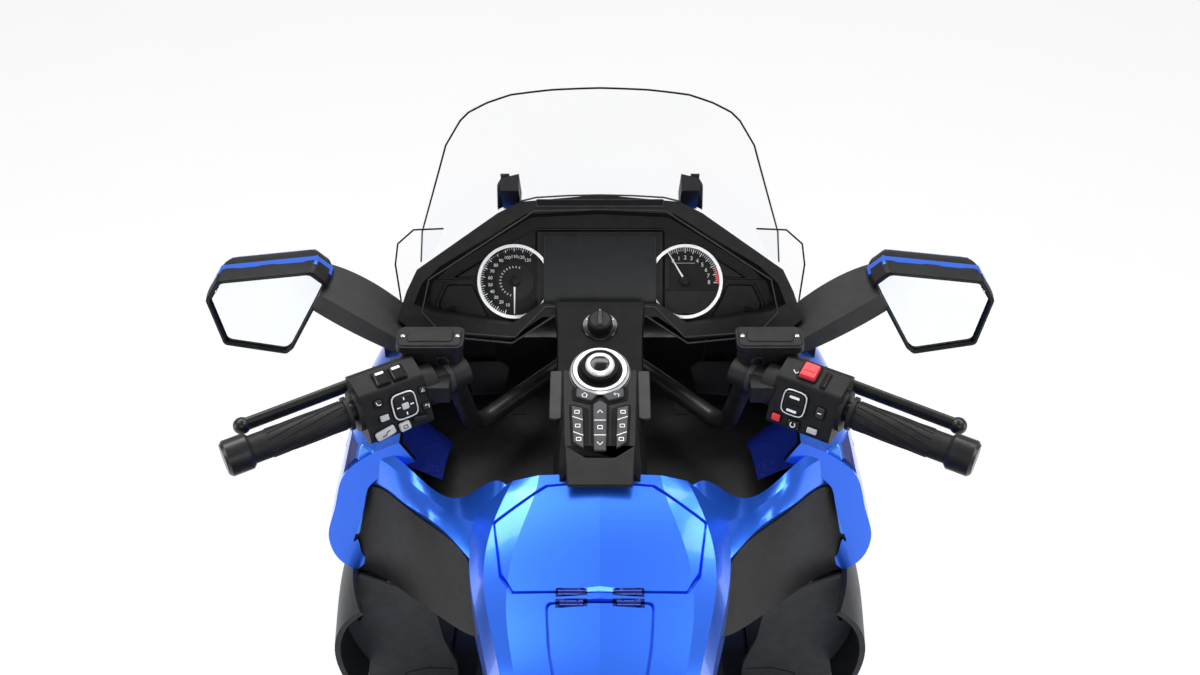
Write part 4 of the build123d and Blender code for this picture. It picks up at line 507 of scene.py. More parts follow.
def lettering(name, place, words, size, material, body=ROOT, height=0.25):
    """Plain numbers or marks lying on a face, about the frame's origin."""
    font = bpy.data.curves.new(name, "FONT")
    font.body = words
    font.size = size * MM
    font.extrude = height * MM / 2
    font.align_x, font.align_y = "CENTER", "CENTER"
    font.resolution_u = 3
    obj = bpy.data.objects.new(name, font)
    basis = Matrix((place.u, place.v, place.w)).transposed().to_4x4()
    obj.matrix_world = Matrix.Translation(place.at(0, 0, height / 2)) @ basis
    bpy.context.scene.collection.objects.link(obj)
    font.materials.append(material)
    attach(obj, body)
    return obj


def arc_points(radius, start, end, steps):
    """Points on an arc, its angles in degrees clockwise from the top."""
    result = []
    for step in range(steps + 1):
        angle = math.radians(start + (end - start) * step / steps)
        result.append((radius * math.sin(angle), radius * math.cos(angle)))
    return result


def clockwise(radius, angle):
    """A point at an angle clockwise from the top."""
    return radius * math.sin(math.radians(angle)), radius * math.cos(math.radians(angle))


# ---------------------------------------------------------------- dash
DASH_TILT = math.radians(35)
DASH = Place((0, 529, 1050), (1, 0, 0), (0, math.sin(DASH_TILT), math.cos(DASH_TILT)),
             (0, -math.cos(DASH_TILT), math.sin(DASH_TILT)))
DIAL_X, DIAL_V, DIAL_R = 124.0, -9.0, 51.0
SPEED_START, SPEED_STEP = 197.0, 16.2
REVS_START, REVS_STEP = -31.0, 15.4


def marks(name, place, rays, w0, w1, material, body=ROOT):
    """Small straight marks in one mesh, each from (angle, inner radius, outer radius, width)."""
    vertices, faces = [], []
    for angle, inner, outer, width in rays:
        a = math.radians(angle)
        along, across = (math.sin(a), math.cos(a)), (math.cos(a), -math.sin(a))
        first = len(vertices)
        for w in (w0, w1):
            for reach, side in ((inner, -1), (outer, -1), (outer, 1), (inner, 1)):
                u = along[0] * reach + across[0] * side * width / 2
                v = along[1] * reach + across[1] * side * width / 2
                vertices.append(place.at(u, v, w))
        faces += [tuple(first + i for i in (0, 1, 2, 3)), tuple(first + i for i in (7, 6, 5, 4))]
        faces += [tuple(first + i for i in (k, k + 4, (k + 1) % 4 + 4, (k + 1) % 4)) for k in range(4)]
    return on_body(facing_out(new_object(name, vertices, faces)), material, body)


def build_dials():
    left, right = DASH.moved(-DIAL_X, DIAL_V), DASH.moved(DIAL_X, DIAL_V)
    for side, place in (("left", left), ("right", right)):
        turned_form("dial_face_" + side, place, [(0, 1.0), (DIAL_R, 1.0), (DIAL_R, 0.2), (0, 0.2)], DIAL)
    rays = []
    for step in range(49):
        inner, width = (43.5, 1.0) if step % 4 == 0 else (46.0, 0.6)
        rays.append((SPEED_START + SPEED_STEP * step / 4, inner, 49.5, width))
    marks("speed_marks", left, rays, 1.0, 1.4, WHITE)
    for step in range(13):
        u, v = clockwise(36.0, SPEED_START + SPEED_STEP * step)
        lettering("speed_%d" % (10 + step * 10), left.moved(u, v, 1.0), str(10 + step * 10), 6.6, WHITE)
    turned_form("inner_dial", left, [(0, 2.6), (13, 2.6), (24, 1.6), (27.5, 1.4), (27.5, 0.8), (0, 0.8)],
        PANEL)
    rays = [(SPEED_START + 13 * step, 19.5, 22.5, 1.7) for step in range(15)]
    marks("inner_marks", left, rays, 1.6, 2.4, PALE)
    rays = []
    for step in range(33):
        inner, width = (41.5, 1.1) if step % 4 == 0 else (44.0, 0.7)
        rays.append((REVS_START + REVS_STEP * step / 4, inner, 49.0, width))
    marks("revs_marks", right, rays, 1.0, 1.4, WHITE)
    for step in range(9):
        u, v = clockwise(34.5, REVS_START + REVS_STEP * step)
        lettering("revs_%d" % step, right.moved(u, v, 1.0), str(step), 8.2, WHITE)
    red = arc_points(45.5, REVS_START + REVS_STEP * 6.3, REVS_START + REVS_STEP * 8.1, 8)
    red += [clockwise(49.5, REVS_START + REVS_STEP * (8.1 - 1.8 * step / 8)) for step in range(9)]
    plate("red_zone", right, red, 1.3, 1.9, RED)
    line("revs_label", right, [(-14, 26.5), (14, 26.5)], 0.5, PALE, w=1.2)
    for side, place, tip in (("left", left, (-0.3, -47.4)), ("right", right, (-24.7, 41.5))):
        reach = math.hypot(*tip)
        angle = math.degrees(math.atan2(tip[0], tip[1]))
        needle = [(-1.7, -7), (1.7, -7), (0.6, reach), (-0.6, reach)]
        plate("needle_" + side, place.turned(-angle), needle, 5.2, 6.4, WHITE, bevel=0.3)
        turned_form("hub_" + side, place, [(0, 8.6), (5.8, 8.2), (7.8, 6.6), (8.2, 1.0)], BLACK)


def build_display():
    screen = rounded([(-81, -42), (81, -42), (81, 57), (-81, 57)], 3)
    border = rounded([(-94, -48), (94, -48), (94, 66), (-94, 66)], 4)
    plate("display_border", DASH, border, 0.5, 4.4, BLACK, bevel=0.8, top_inset=3.0)
    plate("display_glass", DASH, screen, 3.4, 5.0, DISPLAY, bevel=0.5)
    line("display_edge", DASH, screen, 0.8, GREY, w=4.9, closed=True)
    line("display_top", DASH, [(-125, 48), (-90, 66.5), (90, 66.5), (125, 48)], 1.1, GREY, w=3.2)
    for side, word in SIDES:
        line("display_side_" + word, DASH, [(88.5 * side, 62), (88.5 * side, -42)], 0.8, GREY, w=4.6)
    low = [(95.5, -54), (164, -54), (170, -40), (171, -23.5), (95.5, -23.5)]
    plate("low_display", DASH, rounded(low, 3), 1.2, 3.4, PANEL, bevel=0.6)
    line("low_display_edge", DASH, rounded(low, 3), 0.7, GREY, w=3.2, closed=True)
    cut = [(-94, 30), (-82, 30), (-78, 20), (-78, -28), (-82, -36), (-94, -36)]
    plate("left_cut", DASH, cut, 1.6, 3.6, PANEL, bevel=0.5)
    plate("right_cut", DASH, [(94, 26), (101, 26), (101, -20), (94, -20)], 1.6, 3.6, PANEL, bevel=0.5)


def build_dash_panels():
    lower = [(-222, -13.5), (-185, -13.5), (-181, -24), (-161, -63), (-170, -64.5), (-229, -57.5),
        (-235.4, -42.5)]
    upper = [(-213, -4), (-169, 24), (-133, 47), (-128, 40), (-152, 33), (-172, 14), (-178, -3)]
    ridge = [
        (-246, -6), (-184, -6), (-184, -10.5), (-226, -10.5), (-240, -42),
        (-232, -60), (-165, -68), (-165, -72), (-236, -66), (-247, -42),
    ]
    for side, word in SIDES:
        shape = handed(lower, side)
        plate("lower_panel_" + word, DASH, rounded(shape, 5), 0.4, 4.0, PANEL, bevel=1.0, top_inset=1.6)
        line("lower_edge_" + word, DASH, rounded(inset(shape, -2.6), 5), 1.0, GREY, w=2.2, closed=True)
        shape = rounded(handed(upper, side), 3)
        plate("upper_panel_" + word, DASH, shape, 0.4, 3.0, PANEL, bevel=0.8, top_inset=1.2)
        line("upper_edge_" + word, DASH, sided([(218, -4), (127, 51)], side), 0.8, GREY, w=2.0)
        plate("face_ridge_" + word, DASH, handed(ridge, side), 0.2, 2.4, BLACK, bevel=0.6)


def build_hood_trim():
    rim = DASH.moved(0, 0, 45.0)
    slot = rounded([(-90, 97.4), (90, 97.4), (90, 106.8), (-90, 106.8)], 2.4)
    plate("vent_slot", rim, slot, -2.0, 1.1, SOFT_BLACK, bevel=0.5)
    line("vent_edge", rim, slot, 0.9, GREY, w=0.8, closed=True)
    # The grey lines along the opening's edges and the lower lip are painted highlights on the hood rim.
    for name, half, radius, w in (
        ("vent_lip", [(-114, 104.4), (-90, 110), (-45, 112.6), (0, 113.5)], 1.3, 0.4),
        ("opening_edge", [(-253.1, -53), (-243, -6.2), (-92.8, 90.7), (0, 92.7)], 1.2, 0.2),
        ("lower_opening_edge", [(-253.1, -53), (-227.9, -80.4), (-120.7, -88.2), (-77.7, -45.2)], 1.2, 0.2),
        ("lip_highlight", [(-236, -86), (-125, -96.8), (-66, -58.6)], 1.5, -0.2),
    ):
        line(name, rim, whole(half), radius, GREY, w=w)


build_dials()
build_display()
build_dash_panels()
build_hood_trim()


# ---------------------------------------------------------------- console
CONSOLE_RISE = 0.22954
CONSOLE = Place((0, 338, 1022.77), (1, 0, 0), (0, 1, CONSOLE_RISE), (0, -CONSOLE_RISE, 1))
KNOB_T = (418 - 338) * math.hypot(1, CONSOLE_RISE)


def build_console_buttons():
    home = rounded([(-31.7, -28.4), (-32.5, -44), (-11.6, -50.9), (-2.5, -40.2)], 3)
    home_around = rounded([(-34, -24.4), (-38, -30.5), (-36.4, -47.5), (-10.2, -55), (0, -41.3)], 2)
    column = rounded([(-37.9, -57.6), (-22.4, -62.2), (-20.6, -126.6), (-34.7, -115.6)], 3)
    column_around = [(-41, -54.7), (-34.5, -53.7), (-14.7, -61.5), (-14.3, -134), (-20.5, -134),
        (-37.4, -120.3)]
    column_around = rounded(column_around, 2)
    splits = (("one", [(-36.2, -76.2), (-22.6, -81.6)]), ("two", [(-34.6, -100.6), (-21.6, -106)]))
    icon = rounded([(-3.4, -2.8), (3.4, -2.8), (3.4, 2.8), (-3.4, 2.8)], 1.2)
    for side, word in SIDES:
        for name, around, top, rise in (
            ("home_%s_" + word, home_around, home, 7.2),
            ("column_%s_" + word, column_around, column, 7.0),
        ):
            plate(name % "well", CONSOLE, handed(around, side), 2.0, 3.6, SOFT_BLACK, bevel=0.5)
            face = "button" if top is home else "buttons"
            plate(name % face, CONSOLE, handed(top, side), 3.0, rise, MID_GREY, bevel=1.4, top_inset=0.8)
        for name, split in splits:
            line("column_split_%s_%s" % (name, word), CONSOLE, sided(split, -side), 0.7, WHITE, w=7.0)
        for index, (u, v) in enumerate(((-30.2, -69), (-29, -91), (-27.5, -112))):
            spot = CONSOLE.moved(u * -side, v)
            frame_band("column_icon_%s_%d" % (word, index), spot, icon, 0.9, 6.9, 7.5, WHITE)
    middle = rounded([(-9.6, -55.5), (0, -48.9), (9.6, -55.5), (8.2, -129.4), (-8.2, -129.4)], 2)
    around = rounded([(-12.6, -57.6), (0, -45.9), (12.6, -57.6), (12.2, -134), (-12.2, -134)], 2)
    plate("middle_well", CONSOLE, around, 2.0, 3.6, SOFT_BLACK, bevel=0.5)
    plate("middle_buttons", CONSOLE, middle, 3.0, 7.0, MID_GREY, bevel=1.4, top_inset=0.6)
    for index, v in enumerate((-82.2, -105.6)):
        line("middle_split_%d" % index, CONSOLE, [(-7.8, v), (7.8, v)], 0.7, WHITE, w=7.0)
    line("icon_up", CONSOLE, [(-3.6, -70.5), (0, -66), (3.6, -70.5)], 0.7, WHITE, w=7.1)
    line("icon_down", CONSOLE, [(-3.6, -116.5), (0, -121), (3.6, -116.5)], 0.7, WHITE, w=7.1)
    icon = rounded([(-3.4, -3), (3.4, -3), (3.4, 3), (-3.4, 3)], 1.0)
    frame_band("icon_middle", CONSOLE.moved(0, -93.5), icon, 0.9, 6.9, 7.5, WHITE)
    house = [(-24.5, -41.5), (-20.4, -37.8), (-16.3, -41.5), (-17.8, -41.5), (-17.8, -45), (-23, -45),
        (-23, -41.5)]
    line("icon_home", CONSOLE, house, 0.6, WHITE, w=7.3, closed=True)
    arrow = [(24.6, -44.8), (25, -40), (18.4, -39.6), (20.8, -37.2), (18.4, -39.6), (20.8, -42)]
    line("icon_back", CONSOLE, arrow, 0.6, WHITE, w=7.3)


def build_console_dial():
    for name, profile, material, segments in (
        ("ring", [(30, 6.6), (31, 9), (34, 10), (36.6, 9.6), (40.6, 5.2), (41.4, 3.8), (41.4, -3)], SILVER,
            72),
        ("well", [(0, 7.4), (29.4, 7.4), (30.4, 6.4)], SOFT_BLACK, 72),
        ("groove", [(36.2, 9.9), (36.9, 10.1), (37.4, 9.4)], GREY, 72),
        ("skirt", [(0, 14), (20.6, 13.4), (22.4, 11.4), (23.4, 7.2)], GREY, 64),
        ("band", [(12.6, 21.6), (13.6, 22.8), (16.8, 22.6), (19.2, 20.6), (19.8, 18), (19.8, 13)], SILVER,
            64),
        ("cap", [(0, 23), (10.6, 22.8), (12.4, 22), (12.8, 20)], GLOSS_BLACK, 64),
    ):
        turned_form("dial_" + name, CONSOLE, profile, material, segments=segments)
    rays = [(step * 360 / 56, 19.2, 20.3, 1.0) for step in range(56)]
    marks("dial_knurl", CONSOLE, rays, 13.2, 17.6, STEEL)


def build_ignition():
    key = CONSOLE.moved(0, KNOB_T)
    body = [(0, 17.2), (13.6, 17.0), (16.0, 15.0), (17.2, 4.0), (17.6, -2.0)]
    turned_form("ignition_body", key, body, BLACK, segments=48)
    blade = rounded([(-4.2, -13.4), (4.2, -13.4), (3.4, 13.0), (-3.4, 13.0)], 2)
    plate("ignition_key", key, blade, 16.4, 21.4, GREY, bevel=1.2, top_inset=0.8)
    line("ignition_mark", key, [(-1.0, 15.5), (1.0, 15.5)], 0.8, WHITE, w=17.0)
    collar = [(17.8, 3.0), (24.0, 2.4), (25.4, 0.6), (25.6, -2.0)]
    turned_form("ignition_collar", key, collar, GLOSS_BLACK, segments=48)
    rays = [(angle, 19.4, 22.4, 1.4) for angle in (-60, -30, 0, 30, 60)]
    marks("ignition_scale", key, rays, 2.4, 3.4, WHITE)


def build_console():
    top = whole([(-50, 4), (-46, -114), (-41.7, -181)])
    plate("console_plate", CONSOLE, rounded(top, 4), 0.4, 2.6, BLACK, bevel=0.8)
    bare = whole([(-41.2, -180), (-45.6, -118.5), (-19, -138)])
    plate("console_tail", CONSOLE, rounded(bare, 3), 2.0, 4.2, PANEL, bevel=1.0, top_inset=1.0)
    wall = [(-51, -74), (-60, -76), (-67, -74), (-67, 4), (-51, 4)]
    for side, word in SIDES:
        plate("console_shoulder_" + word, CONSOLE, rounded(handed(wall, side), 3), -4.0, 0.6, GREY,
            bevel=1.2)


build_console_buttons()
build_console_dial()
build_ignition()
build_console()


# ---------------------------------------------------------------- handlebar gear
SECTION_TOP, SECTION_EDGE, SECTION_LOW = (-18, 38), (14, 30), (37, -28)


def bar_frame(side):
    """The handlebar's outward, rearward and upward directions on one side."""
    out = Vector((0.86003 * side, -0.51019, -0.00729))
    rear = Vector((-0.5102 * side, -0.86005, 0)).normalized()
    up = Vector((0.00627 * side, -0.00372, 0.99997))
    return Vector((192.0 * side, 285.0, 1063.0)), out, rear, up


def switch_face(side, start, end):
    """A face of the switch housing: u outwards on the right and inwards on the left, v up the face."""
    origin, out, rear, up = bar_frame(side)
    first = origin + rear * start[0] + up * start[1]
    last = origin + rear * end[0] + up * end[1]
    u = out * side
    v = (first - last).normalized()
    return Place(first, u, v, u.cross(v))


def bar_place(side, s):
    """A frame across the bar, its w axis outwards along it."""
    origin, out, rear, up = bar_frame(side)
    return Place(origin + out * s, rear, up, out * 1.0)


def box_outline(width, height, radius=2.0):
    x, y = width / 2, height / 2
    return rounded([(-x, -y), (x, -y), (x, y), (-x, y)], radius, 3)


def control(name, spot, size, radius, w0, w1, material, bevel=0.0, top_inset=0.0):
    """A rounded plate that turns with the handlebar."""
    plate(name, spot, box_outline(*size, radius), w0, w1, material, STEER, bevel, top_inset)


def stroke(name, spot, points, w, radius=0.6, material=WHITE, closed=False):
    """A line mark that turns with the handlebar."""
    line(name, spot, points, radius, material, STEER, w, closed)


def button(name, face, at, size, rise, material, radius=2.0, turn=0.0):
    """A button in a shallow well. Returns its place."""
    spot = face.moved(*at).turned(turn)
    control("well_" + name, spot, (size[0] + 3, size[1] + 3), radius + 1, -0.5, 0.8, SOFT_BLACK, 0.3)
    control(name, spot, size, radius, 0.2, rise, material, min(1.4, rise / 3), 0.7)
    return spot


def pad(word, spot, width, height, band):
    """A rounded pad inside a bright ring."""
    control(word + "_pad_base", spot, (width, height), 11, 0.2, 1.6, SOFT_BLACK, 0.5)
    ring = box_outline(width - 3, height - 3, 10)
    frame_band(word + "_pad_ring", spot, ring, band, 1.2, 3.0, SILVER, STEER, bevel=0.4)
    control(word + "_pad", spot, (width - 8, height - 8), 8, 1.0, 4.6, BLACK, 1.2, 1.5)


def build_left_switches():
    top = switch_face(-1, SECTION_TOP, SECTION_EDGE)
    back = switch_face(-1, SECTION_EDGE, SECTION_LOW)
    for index, s in enumerate((94, 72)):
        button("left_rocker_%d" % index, top, (-s, -17), (18, 22), 4.2, GLOSS_BLACK, 2.5)
        control("left_rocker_bar_%d" % index, top.moved(-s, -11), (11, 3.6), 0.8, 3.6, 4.7, WHITE)
    ring = back.moved(-77.3, -29)
    pad("left", ring, 36, 38, 1.8)
    control("left_pad_middle", ring, (9, 8), 1.5, 4.2, 6.0, PALE, 0.5)
    for index, (u, v) in enumerate(((-9, 0), (9, 0), (0, 10), (0, -10))):
        control("left_pad_mark_%d" % index, ring.moved(u, v), (5, 1.4) if u else (1.4, 4), 0.4, 4.3, 5.0,
            WHITE)
    button("left_white", back, (-106, -36), (12, 8), 3.4, PALE, 1.5)
    spot = button("left_return", back, (-50, -40), (10, 9), 2.6, GREY)
    stroke("left_return_mark", spot, [(2.5, -2.4), (3, 1.2), (-2.2, 1.4), (0, 3)], 2.8, 0.5)
    spot = button("left_phone", back, (-109, -15), (10, 9), 2.6, GREY)
    stroke("left_phone_mark", spot, [(-2.8, 2.4), (-2.2, -0.6), (0.6, -2.4), (2.8, -1.8)], 2.8)
    spot = button("left_led", back, (-50, -18), (9, 9), 2.4, GREY)
    stroke("left_led_mark", spot, [(-2, -1.5), (0, 2), (2, -1.5)], 2.6, 0.5, closed=True)
    spot = button("left_horn", back, (-110, -55), (27, 12), 5.2, PALE, 3.5, turn=10)
    stroke("left_horn_mark", spot, [(-6, -1.6), (-1, -1.6), (3, 1.8), (6, 1.8)], 5.4, material=SOFT_BLACK)
    button("left_signal", back, (-84, -55), (15, 12), 6.0, PALE, 3, turn=6)
    square = [(-2.6, -2), (2.6, -2), (2.6, 2), (-2.6, 2)]
    stroke("left_signal_mark", back.moved(-84, -55), square, 6.1, material=SOFT_BLACK, closed=True)
    button("left_lever", back, (-62, -52), (20, 8), 7.0, BLACK, 3, turn=-8)


def build_right_switches():
    top = switch_face(1, SECTION_TOP, SECTION_EDGE)
    back = switch_face(1, SECTION_EDGE, SECTION_LOW)
    spot = top.moved(80, -13)
    control("stop_well", spot, (26, 28), 3, -0.4, 1.4, SOFT_BLACK, 0.4)
    control("stop_switch", spot, (22, 24), 3, 0.4, 7.0, RED, 1.6, 1.5)
    stroke("stop_groove", spot, [(-7.5, -2), (7.5, -2)], 7.0, 0.9, RED)
    stroke("stop_mark", top, [(60, -17), (64, -21), (68, -17)], 0.4, 0.7)
    button("cruise_slit", top, (103, -17), (6, 24), 2.6, GLOSS_BLACK, 1.5)
    ring = back.moved(75, -27)
    pad("right", ring, 35, 37, 1.6)
    for index, v in enumerate((8, -10)):
        control("right_pad_mark_%d" % index, ring.moved(0, v), (13, 3.2), 0.8, 4.2, 5.2, WHITE)
    stroke("right_pad_split", ring, [(-11, -1), (11, -1)], 4.5, material=SOFT_BLACK)
    button("right_hazard", back, (57, -53), (12, 10), 4.2, RED, 2.5)
    spot = button("right_start", back, (81, -54), (16, 12), 4.4, GLOSS_BLACK, 3)
    stroke("right_start_mark", spot, arc_points(3.2, 30, 330, 10), 4.6)
    button("right_mode", back, (106, -54), (14, 8), 3.6, PALE)
    spot = button("right_cruise", back, (110, -28), (11, 15), 3.2, GREY, 2.5)
    stroke("right_cruise_mark", spot, [(-2.6, 0), (2.6, 0)], 3.4)


def build_bar_gear():
    sleeve = [(12, -22), (17, -22), (18.2, -20), (18.2, 24), (21, 25), (21, 30), (12, 30)]
    band = [(18.4, 2), (19.6, 3), (19.6, 9), (18.4, 10)]
    housing_screw = [(0, 1.2), (3.2, 1.2), (3.8, 0.4), (3.8, -1)]
    lid_screw = [(0, 3.4), (2.4, 3.3), (3.2, 2.6), (3.2, 1)]
    sight_ring = [(5.6, 0), (5.6, 2.0), (8.4, 2.0), (9.2, 1.2), (9.2, -2)]
    for side, word in SIDES:
        start = bar_place(side, 0)
        turned_form("bar_sleeve_" + word, start, sleeve, BLACK, STEER, 40)
        turned_form("sleeve_band_" + word, start, band, GREY, STEER, 40)
        origin, out, rear, up = bar_frame(side)
        for index, s in enumerate((56, 118)):
            low = Place(origin + out * s + rear * 12 + up * -36, rear, out * side, -up)
            turned_form("housing_screw_%s_%d" % (word, index), low, housing_screw, STEEL, STEER, 16)
        seam = [(origin + out * 92 + rear * -32 * 1.004 + up * h * 1.004) * MM for h in (-2, 32)]
        tube("housing_seam_" + word, seam, 0.5, SOFT_BLACK, STEER)
        cap = Place((218.0 * side, 304, 1111), (1, 0, 0), (0, 1, 0), (0, 0, 1))
        control("reservoir_lid_" + word, cap, (82, 39), 9, -0.6, 1.8, BLACK, 0.8, 1.0)
        control("reservoir_crown_" + word, cap, (60, 25), 6, 1.2, 3.4, BLACK, 0.8, 1.0)
        for index, u in enumerate((-35, 35)):
            turned_form("reservoir_screw_%s_%d" % (word, index), cap.moved(u, 0), lid_screw, STEEL, STEER,
                16)
        glass = facing_rear((203.0 * side, 284.6, 1086))
        turned_form("sight_ring_" + word, glass, sight_ring, BLACK_METAL, STEER, 32)
        turned_form("sight_glass_" + word, glass, [(0, 1.2), (5.8, 1.0)], GLOSS_BLACK, STEER, 32)


build_left_switches()
build_right_switches()
build_bar_gear()


# ---------------------------------------------------------------- mirrors, windscreen, fairing
AHEAD = (0, 1, 0)
BEHIND, ASIDE = -1400, 700
MIRROR_Y, MIRROR_X, MIRROR_Z = 503.0, 490.0, 1008.0
MIRROR_EDGE = [(556, 1038), (544, 1056), (417, 1071), (399, 1053), (424, 1004)]
MIRROR_RING = [(564, 1025), (544, 1056), (417, 1071), (399, 1053), (460, 945), (471, 935), (553, 951)]
MIRROR_DEPTHS = [(14, 1.125), (32, 1.125), (64, 0.985), (83, 0.64)]


def strip_shell(name, rows, inward, material, body=ROOT, bevel=0.0):
    """A thin shell over rows of points in millimetres, thickened towards a point."""
    outer = [Vector(point) for row in rows for point in row]
    inner = []
    for point in outer:
        inner.append(point + (Vector(inward) - point).normalized() * 2.0)
    count, width = len(outer), len(rows[0])
    faces = []
    for row in range(len(rows) - 1):
        for i in range(width - 1):
            a, b = row * width + i, row * width + i + 1
            c, d = b + width, a + width
            faces += [(a, b, c, d), (count + d, count + c, count + b, count + a)]
    border = [i for i in range(width)] + [row * width + width - 1 for row in range(1, len(rows))]
    border += [(len(rows) - 1) * width + i for i in range(width - 2, -1, -1)]
    border += [row * width for row in range(len(rows) - 2, 0, -1)]
    for i, a in enumerate(border):
        b = border[(i + 1) % len(border)]
        faces.append((a, b, count + b, count + a))
    obj = facing_out(new_object(name, [point * MM for point in outer + inner], faces))
    if bevel:
        bevelled(obj, bevel)
    return on_body(obj, material, body)


def grown(points, share):
    """A mirror's outline grown about its middle."""
    return [(MIRROR_X + (x - MIRROR_X) * share, MIRROR_Z + (z - MIRROR_Z) * share) for x, z in points]


def build_mirrors():
    for side, word in SIDES:
        rows = []
        for depth, share in MIRROR_DEPTHS:
            edge = grown(MIRROR_EDGE, share)
            rows.append([(side * x, MIRROR_Y + depth, z) for x, z in edge])
        strip_shell("mirror_cap_" + word, rows, (side * MIRROR_X, MIRROR_Y + 40, MIRROR_Z), PAINT,
            bevel=0.6)
        face = facing_rear((0, MIRROR_Y - 5, 0), side)
        lip = rounded(grown(MIRROR_RING, 1.05), 8)
        line("mirror_lip_" + word, face, lip, 1.6, BLACK, w=0.4, closed=True)
        screw = [(0, 0.6), (1.6, 0.5), (2.0, 0.0), (2.0, -1)]
        turned_form("mirror_screw_" + word, face.moved(553, 1044), screw, STEEL, segments=12)


def traced(node_name, starts, toward, lift=0.5):
    """Where rays from points in millimetres meet a node, drawn back a little."""
    node = NODES[node_name]
    tree = BVHTree.FromObject(node, bpy.context.evaluated_depsgraph_get())
    back = node.matrix_world.inverted()
    direction = back.to_3x3() @ Vector(toward)
    found = []
    for point in starts:
        hit = tree.ray_cast(back @ (Vector(point) * MM), direction)
        if hit[0] is not None:
            found.append(node.matrix_world @ hit[0] - Vector(toward) * lift * MM)
    return found


def traced_line(name, node_name, starts, toward, lift, radius, material, body=ROOT):
    """A round line where rays meet a node."""
    tube(name, traced(node_name, starts, toward, lift), radius, material, body)


def fine(points, step):
    """The same line with points no further apart than a step."""
    result = []
    for a, b in zip(points, points[1:]):
        count = max(1, int(math.hypot(b[0] - a[0], b[1] - a[1]) / step))
        result += [(a[0] + (b[0] - a[0]) * i / count,
            a[1] + (b[1] - a[1]) * i / count) for i in range(count)]
    return result + [points[-1]]


def build_screen():
    half = [
        (0, 1399), (60, 1397), (110, 1391.5), (140, 1380), (164, 1366),
        (176, 1352), (199, 1308), (261, 1099), (278, 1004),
    ]
    foot = [(-153.3, 1101), (-151.9, 1142.3), (-140.8, 1161), (-122.8, 1153.3), (-119.8, 1120)]
    tip = [(296, 996), (298, 1062), (291, 1098), (266, 1122), (223, 1124)]
    for side, word in SIDES:
        starts = [(x * side * 0.994, 100, z - 1.5) for x, z in fine(half, 8)]
        traced_line("screen_edge_" + word, "windscreen", starts, AHEAD, 0.5, 1.2, SOFT_BLACK, "windscreen")
        shape, plane = rounded(handed(foot, side), 3), facing_rear((0, 622, 0))
        plate("screen_bracket_" + word, plane, shape, -8, 0, BLACK, "windscreen", bevel=1.6, top_inset=1.5)
        line("deflector_edge_" + word, facing_rear((0, 539, 0)), sided(tip, side), 1.3, SOFT_BLACK)


def build_flanges():
    # A pale copy of the blue paint: painted highlight on the flange strip and foot.
    pale = surface("blue paint with painted highlight", (0.06, 0.30, 1.0), (0.08, 0.34, 1.0), 0.26, 0.55, 400.0, coat=0.35)
    # A deep copy of the blue paint: painted shade on the flange's outer edge and the inner wall.
    deep = surface("blue paint with painted shade", (0.004, 0.012, 0.14), (0.006, 0.018, 0.2), 0.22, 0.2, 400.0, coat=0.8)
    for side, word in SIDES:
        face = facing_rear((0, 246, 0), side)
        strip = [(313.7, 979), (298, 966), (337.4, 795), (365.8, 791)]
        low = [(366.6, 786), (338.0, 789), (343, 745), (368.6, 765)]
        outer = [(323, 1001), (316.5, 980), (367.6, 791), (370, 768), (377, 790), (377.6, 806)]
        plate("flange_strip_" + word, face, rounded(strip, 4), -2.0, 3.4, pale, bevel=1.2, top_inset=0.5)
        plate("flange_foot_" + word, face, rounded(low, 4), -2.0, 3.2, pale, bevel=1.2, top_inset=0.5)
        plate("flange_outer_" + word, face, rounded(outer, 3), -3.0, 1.6, deep, bevel=1.0, top_inset=0.5)
        rows = [
            sided(((306, 262, 962), (302, 300, 950), (300, 346, 930), (298, 396, 905)), side),
            sided(((262, 262, 925), (262, 300, 915), (258, 346, 903), (250, 396, 880)), side),
            sided(((216, 262, 898), (216, 296, 893), (214, 330, 888), (212, 366, 872)), side),
        ]
        # The inner wall is a sheet in painted shade.
        strip_shell("inner_wall_" + word, rows, (0, 300, 700), deep, bevel=0.4)
        shield = [(-344, 741), (-240, 690), (-232, 600), (-216, 540), (-216, 500), (-352, 500), (-372, 620),
            (-366, 700)]
        shape = handed(shield, side)
        plane = facing_rear((0, 232, 0))
        plate("leg_shield_" + word, plane, rounded(shape, 6), -3, 3, COWL_GREY, bevel=1.6)
        slot = rounded(sided(((355, 735), (346, 728), (346, 652), (353, 640), (360, 652)), side), 3)
        plate("shield_slot_" + word, plane, slot, 2.6, 3.8, SOFT_BLACK, bevel=0.5)
        # The dark groove line is painted shade in the groove.
        groove = sided(((300, 505), (296, 520), (262, 532), (222, 530)), side)
        line("shield_groove_" + word, plane, groove, 0.9, SOFT_BLACK, w=3.0)


def mesh_cloth():
    """Black plastic pierced all over with small holes."""
    material, nodes, links, shader = new_material("speaker mesh")
    place = nodes.new("ShaderNodeTexCoord")
    cells = nodes.new("ShaderNodeTexVoronoi")
    cells.inputs["Scale"].default_value = 240.0
    cells.inputs["Randomness"].default_value = 0.0
    links.new(place.outputs["Object"], cells.inputs["Vector"])
    hole, cloth = (0.22, (0.001, 0.001, 0.001)), (0.4, (0.022, 0.022, 0.023))
    links.new(ramped(nodes, links, cells.outputs["Distance"], hole, cloth), shader.inputs["Base Color"])
    shader.inputs["Roughness"].default_value = 0.55
    shader.inputs["Specular IOR Level"].default_value = 0.2
    return material


